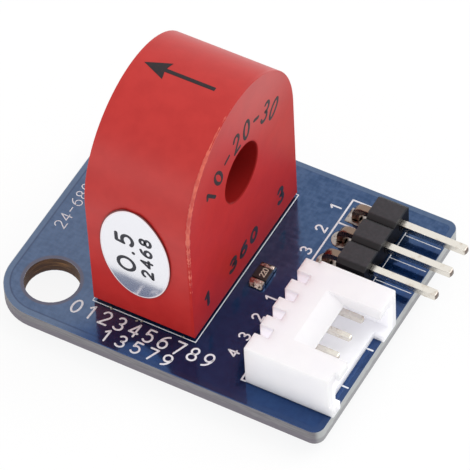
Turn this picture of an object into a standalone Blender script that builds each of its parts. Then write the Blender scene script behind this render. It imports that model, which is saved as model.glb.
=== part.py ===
"""Current transformer module: a through-hole transformer, a pin header and a side-entry connector on a small board.

Frame: metres, +Z up. The origin is the centre of the board's underside. +X points along the header pins and
the transformer's bore, +Y along the board's short side, away from the connector.
"""
import math

import bmesh
import bpy
from mathutils import Matrix, Vector

MM = 0.001

# Clearances between neighbouring pieces
SEAT_GAP = 0.05 * MM
PIN_CLEARANCE = 0.04 * MM
PIN_HOLE_CLEARANCE = 0.08 * MM

# Board
BOARD_LENGTH = 29.8 * MM
BOARD_WIDTH = 23.6 * MM
BOARD_THICKNESS = 1.5 * MM
MOUNT_HOLE_DIAMETER = 4.5 * MM
MOUNT_HOLE_RIM = 1.6 * MM
PLAIN_CORNER_RADIUS = 0.9 * MM
BOARD_ARRIS = 0.06 * MM
MASK_MARGIN = 0.06 * MM
MASK_THICKNESS = 0.03 * MM

# Through-hole joints under the board
TAIL_LENGTH = 1.3 * MM
SOLDER_HEIGHT = 0.85 * MM
SOLDER_PAD_RADIUS = 0.88 * MM
SOLDER_LIP = 0.07 * MM

# Transformer case
CASE_CENTRE_FROM_LEFT = 12.35 * MM
CASE_CENTRE_FROM_FRONT = 12.0 * MM
CASE_DEPTH = 9.1 * MM
CASE_WIDTH = 16.7 * MM
CASE_STANDOFF = 0.4 * MM
BORE_HEIGHT = 11.55 * MM
BORE_SHARE_OF_WIDTH = 0.305
BORE_TUBE_WALL = 0.6 * MM
BORE_MOUTH_CHAMFER = 0.08 * MM
CASE_WALL = 0.8 * MM
CASE_EDGE_RADIUS = 0.25 * MM
ARCH_SEGMENTS = 40

# Ring core and its winding
CORE_CLEARANCE = 0.12 * MM
WINDING_SHARE = 0.21
WINDING_SIDE_GAP = 0.2 * MM
WINDING_TURNS = 44
WINDING_GAP_DEGREES = 36.0
TURN_RIDGE = 0.07 * MM
WINDING_INNER_CORNER = 0.1 * MM

# Potting and transformer terminals
POTTING_DEPTH = 2.2 * MM
POTTING_RECESS = 0.3 * MM
TERMINAL_FROM_SIDE = 2.35 * MM
TERMINAL_DIAMETER = 0.8 * MM
TERMINAL_STUB = 0.5 * MM

# Oval label on the case's near side
LABEL_WIDTH = 6.2 * MM
LABEL_HEIGHT = 10.1 * MM
LABEL_THICKNESS = 0.08 * MM
LABEL_CENTRE_HEIGHT = 8.07 * MM
LABEL_OFFSET = -0.28 * MM

# Pin header
HEADER_WAYS = 3
HEADER_PITCH = 2.54 * MM
HEADER_PIN_SIDE = 0.64 * MM
HEADER_PIN_HEIGHT = 1.27 * MM
HEADER_BODY_HEIGHT = 2.5 * MM
HEADER_BODY_DEPTH = 2.5 * MM
HEADER_BODY_FROM_RIGHT = 3.58 * MM
HEADER_CENTRE_FROM_FRONT = 17.95 * MM
HEADER_CHAMFER = 0.42 * MM
HEADER_LEG_SETBACK = 1.5 * MM
HEADER_PIN_REACH = 5.85 * MM
HEADER_BEND_RADIUS = 0.75 * MM
HEADER_TIP_CHAMFER = 0.17 * MM

# Side-entry connector
CONNECTOR_WAYS = 4
CONNECTOR_PITCH = 2.0 * MM
CONNECTOR_WIDTH = 10.4 * MM
CONNECTOR_DEPTH = 7.75 * MM
CONNECTOR_HEIGHT = 4.3 * MM
CONNECTOR_PAST_EDGE = 0.25 * MM
CONNECTOR_CENTRE_FROM_FRONT = 7.1 * MM
CONNECTOR_SIDE_WALL = 1.1 * MM
CONNECTOR_FLOOR = 0.8 * MM
CONNECTOR_ROOF = 0.8 * MM
CONNECTOR_BACK_WALL = 1.1 * MM
CONNECTOR_EDGE_RADIUS = 0.12 * MM
COMB_SLOT_WIDTH = 0.95 * MM
COMB_SLOT_DEPTH = 1.25 * MM
COMB_END_STEP = 0.33 * MM
WINDOW_WIDTH = 4.95 * MM
WINDOW_DEPTH = 2.9 * MM
WINDOW_OFFSET = -0.27 * MM
NOTCH_DEPTH = 0.95 * MM
FAR_FOOT_WIDTH = 2.05 * MM
PRONG_HEIGHT = 1.0 * MM
PRONG_LENGTH = 0.4 * MM
CONNECTOR_PIN_SIDE = 0.5 * MM
CONNECTOR_PIN_HEIGHT = 2.0 * MM
CONNECTOR_PIN_SETBACK = 1.7 * MM
CONNECTOR_BEND_RADIUS = 0.55 * MM
CONNECTOR_TIP_CHAMFER = 0.13 * MM

# Chip resistor
RESISTOR_LENGTH = 2.0 * MM
RESISTOR_WIDTH = 1.25 * MM
RESISTOR_HEIGHT = 0.5 * MM
RESISTOR_CAP = 0.4 * MM
RESISTOR_FILLET = 0.35 * MM
RESISTOR_FROM_CASE = 1.58 * MM
RESISTOR_FROM_FRONT = 11.7 * MM

ROUND_SEGMENTS = 32
PIN_HOLE_SEGMENTS = 12
PAD_SEGMENTS = 16
BEND_STEPS = 6

# Places that follow from the sizes
BOARD_LEFT = -BOARD_LENGTH / 2
BOARD_RIGHT = BOARD_LENGTH / 2
BOARD_FRONT = -BOARD_WIDTH / 2
BOARD_TOP = BOARD_THICKNESS
HOLE_CORNER_RADIUS = MOUNT_HOLE_DIAMETER / 2 + MOUNT_HOLE_RIM

CASE_X = BOARD_LEFT + CASE_CENTRE_FROM_LEFT
CASE_Y = BOARD_FRONT + CASE_CENTRE_FROM_FRONT
CASE_BOTTOM = BOARD_TOP + CASE_STANDOFF
BORE_Z = BOARD_TOP + BORE_HEIGHT
BORE_DIAMETER = BORE_SHARE_OF_WIDTH * CASE_WIDTH
CAVITY_DEPTH = CASE_DEPTH - 2 * CASE_WALL
CAVITY_WIDTH = CASE_WIDTH - 2 * CASE_WALL

HEADER_FACE_X = BOARD_RIGHT - HEADER_BODY_FROM_RIGHT
HEADER_BACK_X = HEADER_FACE_X - HEADER_BODY_DEPTH
HEADER_LEG_X = HEADER_BACK_X - HEADER_LEG_SETBACK
HEADER_Y = BOARD_FRONT + HEADER_CENTRE_FROM_FRONT
HEADER_PIN_Z = BOARD_TOP + HEADER_PIN_HEIGHT

CONNECTOR_FRONT_X = BOARD_RIGHT + CONNECTOR_PAST_EDGE
CONNECTOR_BACK_X = CONNECTOR_FRONT_X - CONNECTOR_DEPTH
CONNECTOR_Y = BOARD_FRONT + CONNECTOR_CENTRE_FROM_FRONT
CONNECTOR_PIN_Z = BOARD_TOP + CONNECTOR_PIN_HEIGHT
CONNECTOR_LEG_X = CONNECTOR_BACK_X + COMB_SLOT_DEPTH / 2

RESISTOR_X = CASE_X + CASE_DEPTH / 2 + RESISTOR_FROM_CASE
RESISTOR_Y = BOARD_FRONT + RESISTOR_FROM_FRONT


def clear_scene():
    """Remove every object that the file starts with."""
    for obj in list(bpy.data.objects):
        bpy.data.objects.remove(obj, do_unlink=True)


def new_collection(name):
    """Add a collection to the scene."""
    collection = bpy.data.collections.new(name)
    bpy.context.scene.collection.children.link(collection)
    return collection


def material(name, colour, roughness, metallic=0.0):
    """Make a plain surface: base colour, roughness and how metallic it is."""
    mat = bpy.data.materials.new(name)
    mat.use_nodes = True
    shader = mat.node_tree.nodes["Principled BSDF"]
    shader.inputs["Base Color"].default_value = (*colour, 1.0)
    shader.inputs["Roughness"].default_value = roughness
    shader.inputs["Metallic"].default_value = metallic
    return mat


def finish(obj, mat, smooth_degrees=30.0):
    """Give a piece its material and shade its round faces smooth."""
    obj.data.materials.clear()
    obj.data.materials.append(mat)
    obj.data.shade_smooth()
    obj.data.set_sharp_from_angle(angle=math.radians(smooth_degrees))
    return obj


def object_from_bmesh(name, bm, collection):
    """Turn an edited bmesh into an object."""
    mesh = bpy.data.meshes.new(name)
    bm.to_mesh(mesh)
    bm.free()
    obj = bpy.data.objects.new(name, mesh)
    collection.objects.link(obj)
    return obj


def box_bmesh(low, high):
    """A closed box between two corners."""
    bm = bmesh.new()
    bmesh.ops.create_cube(bm, size=1.0)
    low, high = Vector(low), Vector(high)
    size = high - low
    bmesh.ops.scale(bm, vec=size, verts=bm.verts)
    bmesh.ops.translate(bm, vec=(low + high) / 2, verts=bm.verts)
    return bm


def cylinder_bmesh(radius, depth, segments, centre, axis="Z"):
    """A closed cylinder of full length depth, centred on a point."""
    bm = bmesh.new()
    bmesh.ops.create_cone(bm, cap_ends=True, segments=segments, radius1=radius, radius2=radius, depth=depth)
    if axis == "X":
        bmesh.ops.rotate(bm, matrix=Matrix.Rotation(math.pi / 2, 3, "Y"), verts=bm.verts)
    elif axis == "Y":
        bmesh.ops.rotate(bm, matrix=Matrix.Rotation(math.pi / 2, 3, "X"), verts=bm.verts)
    bmesh.ops.translate(bm, vec=centre, verts=bm.verts)
    return bm


def as_cutter(obj):
    """Mark a piece as a cutting tool that is not part of the object."""
    obj.hide_render = True
    obj.display_type = "WIRE"
    return obj


def cut(obj, cutter, operation="DIFFERENCE"):
    """Subtract a cutter from a piece, or join it on."""
    modifier = obj.modifiers.new("cut_" + cutter.name, "BOOLEAN")
    modifier.operation = operation
    modifier.solver = "EXACT"
    modifier.object = cutter
    return modifier


def round_edges(obj, width, segments=2, angle_degrees=40.0):
    """Round the sharp edges of a piece."""
    modifier = obj.modifiers.new("rounded", "BEVEL")
    modifier.width = width
    modifier.segments = segments
    modifier.limit_method = "ANGLE"
    modifier.angle_limit = math.radians(angle_degrees)
    return modifier


def outline_prism(name, points, depth, collection):
    """Extrude a flat outline along X. Each point is (y, z); the prism is centred on the YZ plane."""
    curve = bpy.data.curves.new(name, "CURVE")
    curve.dimensions = "2D"
    curve.fill_mode = "BOTH"
    curve.extrude = depth / 2
    spline = curve.splines.new("POLY")
    spline.points.add(len(points) - 1)
    for point, (y, z) in zip(spline.points, points):
        point.co = (y, z, 0.0, 1.0)
    spline.use_cyclic_u = True
    drawn = bpy.data.objects.new(name + "_outline", curve)
    drawn.matrix_world = Matrix(((0, 0, 1, 0), (1, 0, 0, 0), (0, 1, 0, 0), (0, 0, 0, 1)))
    bpy.context.scene.collection.objects.link(drawn)
    bpy.context.view_layer.update()
    evaluated = drawn.evaluated_get(bpy.context.evaluated_depsgraph_get())
    mesh = bpy.data.meshes.new_from_object(evaluated)
    bm = bmesh.new()
    bm.from_mesh(mesh)
    bmesh.ops.transform(bm, matrix=drawn.matrix_world, verts=bm.verts)
    bmesh.ops.remove_doubles(bm, verts=bm.verts, dist=0.0001 * MM)
    bmesh.ops.recalc_face_normals(bm, faces=bm.faces)
    bpy.data.objects.remove(drawn, do_unlink=True)
    bpy.data.meshes.remove(mesh)
    return object_from_bmesh(name, bm, collection)


def turned(name, profile, centre, collection, axis="Z", segments=ROUND_SEGMENTS):
    """Turn a profile of (radius, height) points, outer side from top to bottom, round an axis."""
    bm = bmesh.new()
    verts = [bm.verts.new((radius, 0.0, height)) for radius, height in profile]
    for first, second in zip(verts, verts[1:] + verts[:1]):
        bm.edges.new((first, second))
    obj = object_from_bmesh(name, bm, collection)
    obj.location = centre
    if axis == "X":
        obj.rotation_euler = (0.0, math.pi / 2, 0.0)
    screw = obj.modifiers.new("turned", "SCREW")
    screw.axis = "Z"
    screw.angle = 2 * math.pi
    screw.steps = segments
    screw.render_steps = segments
    screw.use_merge_vertices = True
    screw.merge_threshold = 0.0001 * MM
    return obj


def arch_outline(half_width, bottom, centre_height):
    """Straight sides under a half-round arch, as (y, z) points about the case's middle."""
    points = [(-half_width, bottom), (half_width, bottom)]
    for step in range(ARCH_SEGMENTS + 1):
        angle = math.pi * step / ARCH_SEGMENTS
        points.append((half_width * math.cos(angle), centre_height + half_width * math.sin(angle)))
    return points


def square_wire(name, side, tip_x, leg_x, height, bottom, bend_radius, tip_chamfer, y, collection):
    """A square pin: it runs from its tip along -X, bends down and ends below the board."""
    half_run = (tip_x - leg_x) - bend_radius
    bm = bmesh.new()
    bmesh.ops.create_circle(bm, cap_ends=True, segments=4, radius=side / math.sqrt(2))
    bmesh.ops.rotate(bm, matrix=Matrix.Rotation(math.pi / 4, 3, "Z"), verts=bm.verts)
    bmesh.ops.rotate(bm, matrix=Matrix.Rotation(-math.pi / 2, 3, "Y"), verts=bm.verts)
    bmesh.ops.translate(bm, vec=(tip_x, y, height), verts=bm.verts)
    start = bm.faces[:]
    run = bmesh.ops.extrude_face_region(bm, geom=start)
    run_face = [item for item in run["geom"] if isinstance(item, bmesh.types.BMFace)]
    run_verts = [item for item in run["geom"] if isinstance(item, bmesh.types.BMVert)]
    bmesh.ops.translate(bm, vec=(-half_run, 0.0, 0.0), verts=run_verts)
    bend = bmesh.ops.spin(
        bm,
        geom=run_face,
        cent=(leg_x + bend_radius, y, height - bend_radius),
        axis=(0.0, 1.0, 0.0),
        angle=-math.pi / 2,
        steps=BEND_STEPS,
    )
    bend_face = [item for item in bend["geom_last"] if isinstance(item, bmesh.types.BMFace)]
    leg = bmesh.ops.extrude_face_region(bm, geom=bend_face)
    leg_verts = [item for item in leg["geom"] if isinstance(item, bmesh.types.BMVert)]
    drop = height - bend_radius - bottom
    bmesh.ops.translate(bm, vec=(0.0, 0.0, -drop), verts=leg_verts)
    inner = [face for face in run_face + bend_face if face.is_valid]
    bmesh.ops.delete(bm, geom=inner, context="FACES_ONLY")
    bmesh.ops.remove_doubles(bm, verts=bm.verts, dist=0.0005 * MM)
    bmesh.ops.recalc_face_normals(bm, faces=bm.faces)
    ends = [edge for edge in bm.edges if all(abs(vert.co.x - tip_x) < 0.001 * MM for vert in edge.verts)]
    ends += [edge for edge in bm.edges if all(abs(vert.co.z - bottom) < 0.001 * MM for vert in edge.verts)]
    bmesh.ops.bevel(bm, geom=ends, offset=tip_chamfer, segments=1, profile=0.5, affect="EDGES", material=-1)
    return object_from_bmesh(name, bm, collection)


def pin_offsets(ways, pitch):
    """Places of a row of pins about its middle, from the near end to the far one."""
    return [(index - (ways - 1) / 2) * pitch for index in range(ways)]


def header_places():
    """(x, y) of each header leg."""
    return [(HEADER_LEG_X, HEADER_Y + offset) for offset in pin_offsets(HEADER_WAYS, HEADER_PITCH)]


def connector_places():
    """(x, y) of each connector leg."""
    return [(CONNECTOR_LEG_X, CONNECTOR_Y + offset) for offset in pin_offsets(CONNECTOR_WAYS, CONNECTOR_PITCH)]


def terminal_places():
    """(x, y) of the transformer's two terminals."""
    return [(CASE_X, CASE_Y + offset) for offset in pin_offsets(2, CASE_WIDTH - 2 * TERMINAL_FROM_SIDE)]


def wire_reach(side):
    """Half the diagonal of a square pin."""
    return side / math.sqrt(2)


def build_board(parts, cutters, mat):
    """The board: large corners round the mounting holes, and a hole and two mask openings for every leg."""
    bm = box_bmesh((BOARD_LEFT, BOARD_FRONT, 0.0), (BOARD_RIGHT, -BOARD_FRONT, BOARD_THICKNESS))
    upright = [edge for edge in bm.edges if abs(edge.verts[0].co.z - edge.verts[1].co.z) > BOARD_THICKNESS / 2]
    left = [edge for edge in upright if edge.verts[0].co.x < 0.0]
    right = [edge for edge in upright if edge.verts[0].co.x > 0.0]
    bmesh.ops.bevel(bm, geom=left, offset=HOLE_CORNER_RADIUS, segments=12, profile=0.5, affect="EDGES", material=-1)
    bmesh.ops.bevel(bm, geom=right, offset=PLAIN_CORNER_RADIUS, segments=6, profile=0.5, affect="EDGES", material=-1)
    board = object_from_bmesh("circuit_board", bm, parts)
    round_edges(board, BOARD_ARRIS, segments=1, angle_degrees=60.0)
    holes = [
        (BOARD_LEFT + HOLE_CORNER_RADIUS, side * (BOARD_WIDTH / 2 - HOLE_CORNER_RADIUS), MOUNT_HOLE_DIAMETER / 2,
         ROUND_SEGMENTS)
        for side in (-1, 1)
    ]
    holes += [(x, y, wire_reach(HEADER_PIN_SIDE) + PIN_HOLE_CLEARANCE, PIN_HOLE_SEGMENTS) for x, y in header_places()]
    holes += [(x, y, wire_reach(CONNECTOR_PIN_SIDE) + PIN_HOLE_CLEARANCE, PIN_HOLE_SEGMENTS)
              for x, y in connector_places()]
    holes += [(x, y, TERMINAL_DIAMETER / 2 + PIN_HOLE_CLEARANCE, PIN_HOLE_SEGMENTS) for x, y in terminal_places()]
    for index, (x, y, radius, segments) in enumerate(holes):
        drill = cylinder_bmesh(radius, 3 * BOARD_THICKNESS, segments, (x, y, BOARD_THICKNESS / 2))
        cut(board, as_cutter(object_from_bmesh(f"drill_{index}", drill, cutters)))
    for index, (x, y) in enumerate(terminal_places() + header_places() + connector_places()):
        for side, z in (("under", 0.0), ("top", BOARD_TOP)):
            pad = cylinder_bmesh(SOLDER_PAD_RADIUS + MASK_MARGIN, 2 * MASK_THICKNESS, PAD_SEGMENTS, (x, y, z))
            cut(board, as_cutter(object_from_bmesh(f"mask_opening_{side}_{index}", pad, cutters)))
    return finish(board, mat)


def build_case(parts, cutters, mat):
    """The case: an arched shell with an open underside and a tube through it for the measured wire."""
    below = CASE_BOTTOM - 2 * CASE_EDGE_RADIUS
    case = outline_prism("transformer_case", arch_outline(CASE_WIDTH / 2, below, BORE_Z), CASE_DEPTH, parts)
    case.location = (CASE_X, CASE_Y, 0.0)
    round_edges(case, CASE_EDGE_RADIUS, segments=3)
    trim = box_bmesh(
        (CASE_X - CASE_DEPTH, CASE_Y - CASE_WIDTH, below - CASE_WALL), (CASE_X + CASE_DEPTH, CASE_Y + CASE_WIDTH, CASE_BOTTOM)
    )
    cut(case, as_cutter(object_from_bmesh("case_foot_trim", trim, cutters)))
    inner = arch_outline(CAVITY_WIDTH / 2, CASE_BOTTOM - CASE_WALL, BORE_Z)
    cavity = as_cutter(outline_prism("case_cavity", inner, CAVITY_DEPTH, cutters))
    cavity.location = (CASE_X, CASE_Y, 0.0)
    tube_radius = BORE_DIAMETER / 2 + BORE_TUBE_WALL
    tube = cylinder_bmesh(tube_radius, 2 * CASE_DEPTH, ROUND_SEGMENTS, (CASE_X, CASE_Y, BORE_Z), axis="X")
    cut(cavity, as_cutter(object_from_bmesh("bore_tube", tube, cutters)))
    cut(case, cavity)
    radius = BORE_DIAMETER / 2
    mouth = CASE_DEPTH / 2
    flare = radius + 2 * BORE_MOUTH_CHAMFER
    profile = [
        (0.0, mouth + BORE_MOUTH_CHAMFER),
        (flare, mouth + BORE_MOUTH_CHAMFER),
        (radius, mouth - BORE_MOUTH_CHAMFER),
        (radius, -mouth + BORE_MOUTH_CHAMFER),
        (flare, -mouth - BORE_MOUTH_CHAMFER),
        (0.0, -mouth - BORE_MOUTH_CHAMFER),
    ]
    bore = turned("bore", profile, (CASE_X, CASE_Y, BORE_Z), cutters, axis="X")
    cut(case, as_cutter(bore))
    return finish(case, mat)


def build_label(parts, cutters, mat):
    """The oval film label: it lies on the side of the case and follows the start of its arch."""
    inside = CASE_WIDTH / 2 + SEAT_GAP
    x = CASE_X + LABEL_OFFSET
    label = outline_prism("oval_label", arch_outline(inside + LABEL_THICKNESS, CASE_BOTTOM, BORE_Z), CASE_DEPTH, parts)
    label.location = (x, CASE_Y, 0.0)
    oval = cylinder_bmesh(0.5, CASE_WIDTH, 64, (0.0, 0.0, 0.0), axis="Y")
    bmesh.ops.scale(oval, vec=(LABEL_WIDTH, 1.0, LABEL_HEIGHT), verts=oval.verts)
    bmesh.ops.translate(oval, vec=(x, CASE_Y - CASE_WIDTH, BOARD_TOP + LABEL_CENTRE_HEIGHT), verts=oval.verts)
    cut(label, as_cutter(object_from_bmesh("label_oval", oval, cutters)), "INTERSECT")
    backing = outline_prism("label_backing", arch_outline(inside, 0.0, BORE_Z), 2 * CASE_DEPTH, cutters)
    backing.location = (x, CASE_Y, 0.0)
    cut(label, as_cutter(backing))
    return finish(label, mat)


def winding_section():
    """Inner radius, outer radius, half width and thickness of the winding: its share of the room in the case."""
    inner = BORE_DIAMETER / 2 + BORE_TUBE_WALL + WINDING_SIDE_GAP
    outer = CAVITY_WIDTH / 2 - WINDING_SIDE_GAP
    half_depth = CAVITY_DEPTH / 2 - WINDING_SIDE_GAP
    return inner, outer, half_depth, WINDING_SHARE * (outer - inner)


def build_core(parts, mat):
    """The ring core, centred on the bore."""
    inner, outer, half_depth, build = winding_section()
    shell = build + CORE_CLEARANCE
    core_inner, core_outer, core_half = inner + shell, outer - shell, half_depth - shell
    profile = [(core_outer, core_half), (core_outer, -core_half), (core_inner, -core_half), (core_inner, core_half)]
    core = turned("ring_core", profile, (CASE_X, CASE_Y, BORE_Z), parts, axis="X")
    return finish(core, mat)


def build_winding(parts, mat):
    """The secondary winding: ridged turns round the core, open where the two ends leave it."""
    inner, outer, half_depth, build = winding_section()
    ridge_outer, ridge_inner, ridge_half = outer - TURN_RIDGE, inner + TURN_RIDGE, half_depth - TURN_RIDGE
    wall = build - TURN_RIDGE
    bm = bmesh.new()
    loops = []
    for inset, corner in ((0.0, build / 2), (wall, WINDING_INNER_CORNER)):
        wide, far, near = ridge_half - inset, ridge_outer - inset, ridge_inner + inset
        outline = [
            (wide - corner, far), (corner - wide, far), (-wide, far - corner), (-wide, near + corner),
            (corner - wide, near), (wide - corner, near), (wide, near + corner), (wide, far - corner),
        ]
        loops.append([bm.verts.new((x, 0.0, -radius)) for x, radius in outline])
    over, under = loops
    for this, following in zip(range(len(over)), [*range(1, len(over)), 0]):
        bm.faces.new((over[this], over[following], under[following], under[this]))
    start = math.radians(WINDING_GAP_DEGREES / 2)
    sweep = 2 * math.pi - 2 * start
    bmesh.ops.rotate(bm, matrix=Matrix.Rotation(start, 3, "X"), verts=bm.verts)
    steps = 2 * WINDING_TURNS
    section = bm.faces[:] + bm.edges[:] + bm.verts[:]
    bmesh.ops.spin(bm, geom=section, cent=(0.0, 0.0, 0.0), axis=(1.0, 0.0, 0.0), angle=sweep, steps=steps)
    middle_radius = (outer + inner) / 2
    middle_depth = ridge_half - build / 2
    for vert in bm.verts:
        turn = math.atan2(vert.co.y, -vert.co.z) % (2 * math.pi)
        step = round((turn - start) / sweep * steps)
        radius = math.hypot(vert.co.y, vert.co.z)
        on_outside = abs(radius - middle_radius) > (outer - inner) / 2 - wall / 2 or abs(vert.co.x) > middle_depth
        if step % 2 == 1 and on_outside:
            push = Vector((0.0, vert.co.y, vert.co.z)).normalized() * (1 if radius > middle_radius else -1)
            vert.co += push * TURN_RIDGE
            vert.co.x += math.copysign(TURN_RIDGE, vert.co.x)
    bmesh.ops.recalc_face_normals(bm, faces=bm.faces)
    bmesh.ops.translate(bm, vec=(CASE_X, CASE_Y, BORE_Z), verts=bm.verts)
    return finish(object_from_bmesh("secondary_winding", bm, parts), mat)


def build_potting(parts, cutters, mat):
    """The potting compound that fills the open underside of the case."""
    low_z = CASE_BOTTOM + POTTING_RECESS
    half_x = CAVITY_DEPTH / 2 - SEAT_GAP
    half_y = CAVITY_WIDTH / 2 - SEAT_GAP
    bm = box_bmesh((CASE_X - half_x, CASE_Y - half_y, low_z), (CASE_X + half_x, CASE_Y + half_y, low_z + POTTING_DEPTH))
    potting = object_from_bmesh("potting_fill", bm, parts)
    for index, (x, y) in enumerate(terminal_places()):
        radius = TERMINAL_DIAMETER / 2 + PIN_CLEARANCE
        drill = cylinder_bmesh(radius, 4 * POTTING_DEPTH, PIN_HOLE_SEGMENTS, (x, y, low_z))
        cut(potting, as_cutter(object_from_bmesh(f"terminal_hole_{index}", drill, cutters)))
    return finish(potting, mat)


def build_terminals(parts, mat):
    """The transformer's terminals, from inside the case to below the board."""
    top = CASE_BOTTOM + POTTING_RECESS + POTTING_DEPTH + TERMINAL_STUB
    length = top + TAIL_LENGTH
    pins = []
    for mark, (x, y) in zip((1, 3), terminal_places()):
        bm = cylinder_bmesh(TERMINAL_DIAMETER / 2, length, PIN_HOLE_SEGMENTS, (x, y, top - length / 2))
        pins.append(finish(object_from_bmesh(f"transformer_pin_{mark}", bm, parts), mat))
    return pins


def build_header(parts, cutters, plastic, metal):
    """The pin header: a row of chamfered blocks moulded as one, and its bent pins."""
    half = HEADER_PITCH / 2
    low, high = SEAT_GAP, HEADER_BODY_HEIGHT
    under, over = [], []
    for offset in pin_offsets(HEADER_WAYS, HEADER_PITCH):
        under += [(offset - half, low + HEADER_CHAMFER), (offset - half + HEADER_CHAMFER, low),
                  (offset + half - HEADER_CHAMFER, low)]
        over += [(offset - half, high - HEADER_CHAMFER), (offset - half + HEADER_CHAMFER, high),
                 (offset + half - HEADER_CHAMFER, high)]
    end = HEADER_WAYS * half
    outline = under + [(end, low + HEADER_CHAMFER), (end, high - HEADER_CHAMFER)] + over[::-1]
    body = outline_prism("header_housing", outline, HEADER_BODY_DEPTH, parts)
    body.location = ((HEADER_FACE_X + HEADER_BACK_X) / 2, HEADER_Y, BOARD_TOP)
    hole = HEADER_PIN_SIDE / 2 + PIN_CLEARANCE
    for index, (_, y) in enumerate(header_places()):
        slot = box_bmesh(
            (HEADER_BACK_X - HEADER_BODY_DEPTH, y - hole, HEADER_PIN_Z - hole),
            (HEADER_FACE_X + HEADER_BODY_DEPTH, y + hole, HEADER_PIN_Z + hole),
        )
        cut(body, as_cutter(object_from_bmesh(f"header_slot_{index}", slot, cutters)))
    finish(body, plastic)
    tip_x = HEADER_FACE_X + HEADER_PIN_REACH
    for index, (x, y) in enumerate(header_places()):
        pin = square_wire(
            f"header_pin_{index + 1}", HEADER_PIN_SIDE, tip_x, x, HEADER_PIN_Z, -TAIL_LENGTH,
            HEADER_BEND_RADIUS, HEADER_TIP_CHAMFER, y, parts,
        )
        finish(pin, metal)


def build_connector(parts, cutters, plastic, metal):
    """The side-entry connector: a shrouded housing with a combed back, and its bent pins."""
    half = CONNECTOR_WIDTH / 2
    low_z, high_z = BOARD_TOP + SEAT_GAP, BOARD_TOP + CONNECTOR_HEIGHT
    bm = box_bmesh((CONNECTOR_BACK_X, CONNECTOR_Y - half, low_z), (CONNECTOR_FRONT_X, CONNECTOR_Y + half, high_z))
    housing = object_from_bmesh("connector_housing", bm, parts)
    round_edges(housing, CONNECTOR_EDGE_RADIUS)
    beyond = CONNECTOR_FRONT_X + CONNECTOR_DEPTH
    floor_z = BOARD_TOP + CONNECTOR_FLOOR
    roof_z = high_z - CONNECTOR_ROOF
    cavity_back = CONNECTOR_BACK_X + COMB_SLOT_DEPTH + CONNECTOR_BACK_WALL
    inner = half - CONNECTOR_SIDE_WALL
    cavity = box_bmesh((cavity_back, CONNECTOR_Y - inner, floor_z), (beyond, CONNECTOR_Y + inner, roof_z))
    window_y = CONNECTOR_Y + WINDOW_OFFSET
    window = box_bmesh(
        (CONNECTOR_FRONT_X - WINDOW_DEPTH, window_y - WINDOW_WIDTH / 2, (floor_z + roof_z) / 2),
        (beyond, window_y + WINDOW_WIDTH / 2, high_z + CONNECTOR_ROOF),
    )
    notch = box_bmesh(
        (CONNECTOR_FRONT_X - NOTCH_DEPTH, CONNECTOR_Y - inner, 0.0),
        (beyond, CONNECTOR_Y + half - FAR_FOOT_WIDTH, (floor_z + roof_z) / 2),
    )
    setback = box_bmesh(
        (CONNECTOR_FRONT_X - PRONG_LENGTH, CONNECTOR_Y - 2 * half, low_z + PRONG_HEIGHT),
        (beyond, CONNECTOR_Y - inner, high_z + CONNECTOR_HEIGHT),
    )
    comb_step = box_bmesh(
        (CONNECTOR_BACK_X - CONNECTOR_DEPTH, CONNECTOR_Y + half - COMB_END_STEP, 0.0),
        (CONNECTOR_BACK_X + COMB_SLOT_DEPTH, CONNECTOR_Y + 2 * half, high_z + CONNECTOR_HEIGHT),
    )
    shapes = {"cavity": cavity, "window": window, "notch": notch, "setback": setback, "comb_step": comb_step}
    for name, shape in shapes.items():
        cut(housing, as_cutter(object_from_bmesh("connector_" + name, shape, cutters)))
    hole = CONNECTOR_PIN_SIDE / 2 + PIN_CLEARANCE
    for index, (_, y) in enumerate(connector_places()):
        comb = box_bmesh(
            (CONNECTOR_BACK_X - CONNECTOR_DEPTH, y - COMB_SLOT_WIDTH / 2, 0.0),
            (CONNECTOR_BACK_X + COMB_SLOT_DEPTH, y + COMB_SLOT_WIDTH / 2, high_z + CONNECTOR_HEIGHT),
        )
        cut(housing, as_cutter(object_from_bmesh(f"comb_slot_{index}", comb, cutters)))
        slot = box_bmesh(
            (CONNECTOR_BACK_X, y - hole, CONNECTOR_PIN_Z - hole),
            ((cavity_back + CONNECTOR_FRONT_X) / 2, y + hole, CONNECTOR_PIN_Z + hole),
        )
        cut(housing, as_cutter(object_from_bmesh(f"connector_slot_{index}", slot, cutters)))
    finish(housing, plastic)
    tip_x = CONNECTOR_FRONT_X - CONNECTOR_PIN_SETBACK
    for index, (x, y) in enumerate(connector_places()):
        pin = square_wire(
            f"connector_pin_{index + 1}", CONNECTOR_PIN_SIDE, tip_x, x, CONNECTOR_PIN_Z, -TAIL_LENGTH,
            CONNECTOR_BEND_RADIUS, CONNECTOR_TIP_CHAMFER, y, parts,
        )
        finish(pin, metal)


def build_solder(parts, mat):
    """A solder cone under the board round every leg."""
    rows = [
        ("transformer", terminal_places(), TERMINAL_DIAMETER / 2),
        ("header", header_places(), wire_reach(HEADER_PIN_SIDE)),
        ("connector", connector_places(), wire_reach(CONNECTOR_PIN_SIDE)),
    ]
    for row, places, reach in rows:
        bore = reach + PIN_CLEARANCE
        neck = bore + SOLDER_LIP
        pad = SOLDER_PAD_RADIUS
        span = pad - neck
        profile = [(pad, 0.0), (pad, -0.12 * SOLDER_HEIGHT), (neck + 0.45 * span, -0.35 * SOLDER_HEIGHT),
                   (neck + 0.12 * span, -0.7 * SOLDER_HEIGHT), (neck, -SOLDER_HEIGHT), (bore, -SOLDER_HEIGHT),
                   (bore, 0.0)]
        for index, (x, y) in enumerate(places):
            joint = turned(f"solder_{row}_{index + 1}", profile, (x, y, -SEAT_GAP), parts, segments=PAD_SEGMENTS)
            finish(joint, mat)


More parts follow.
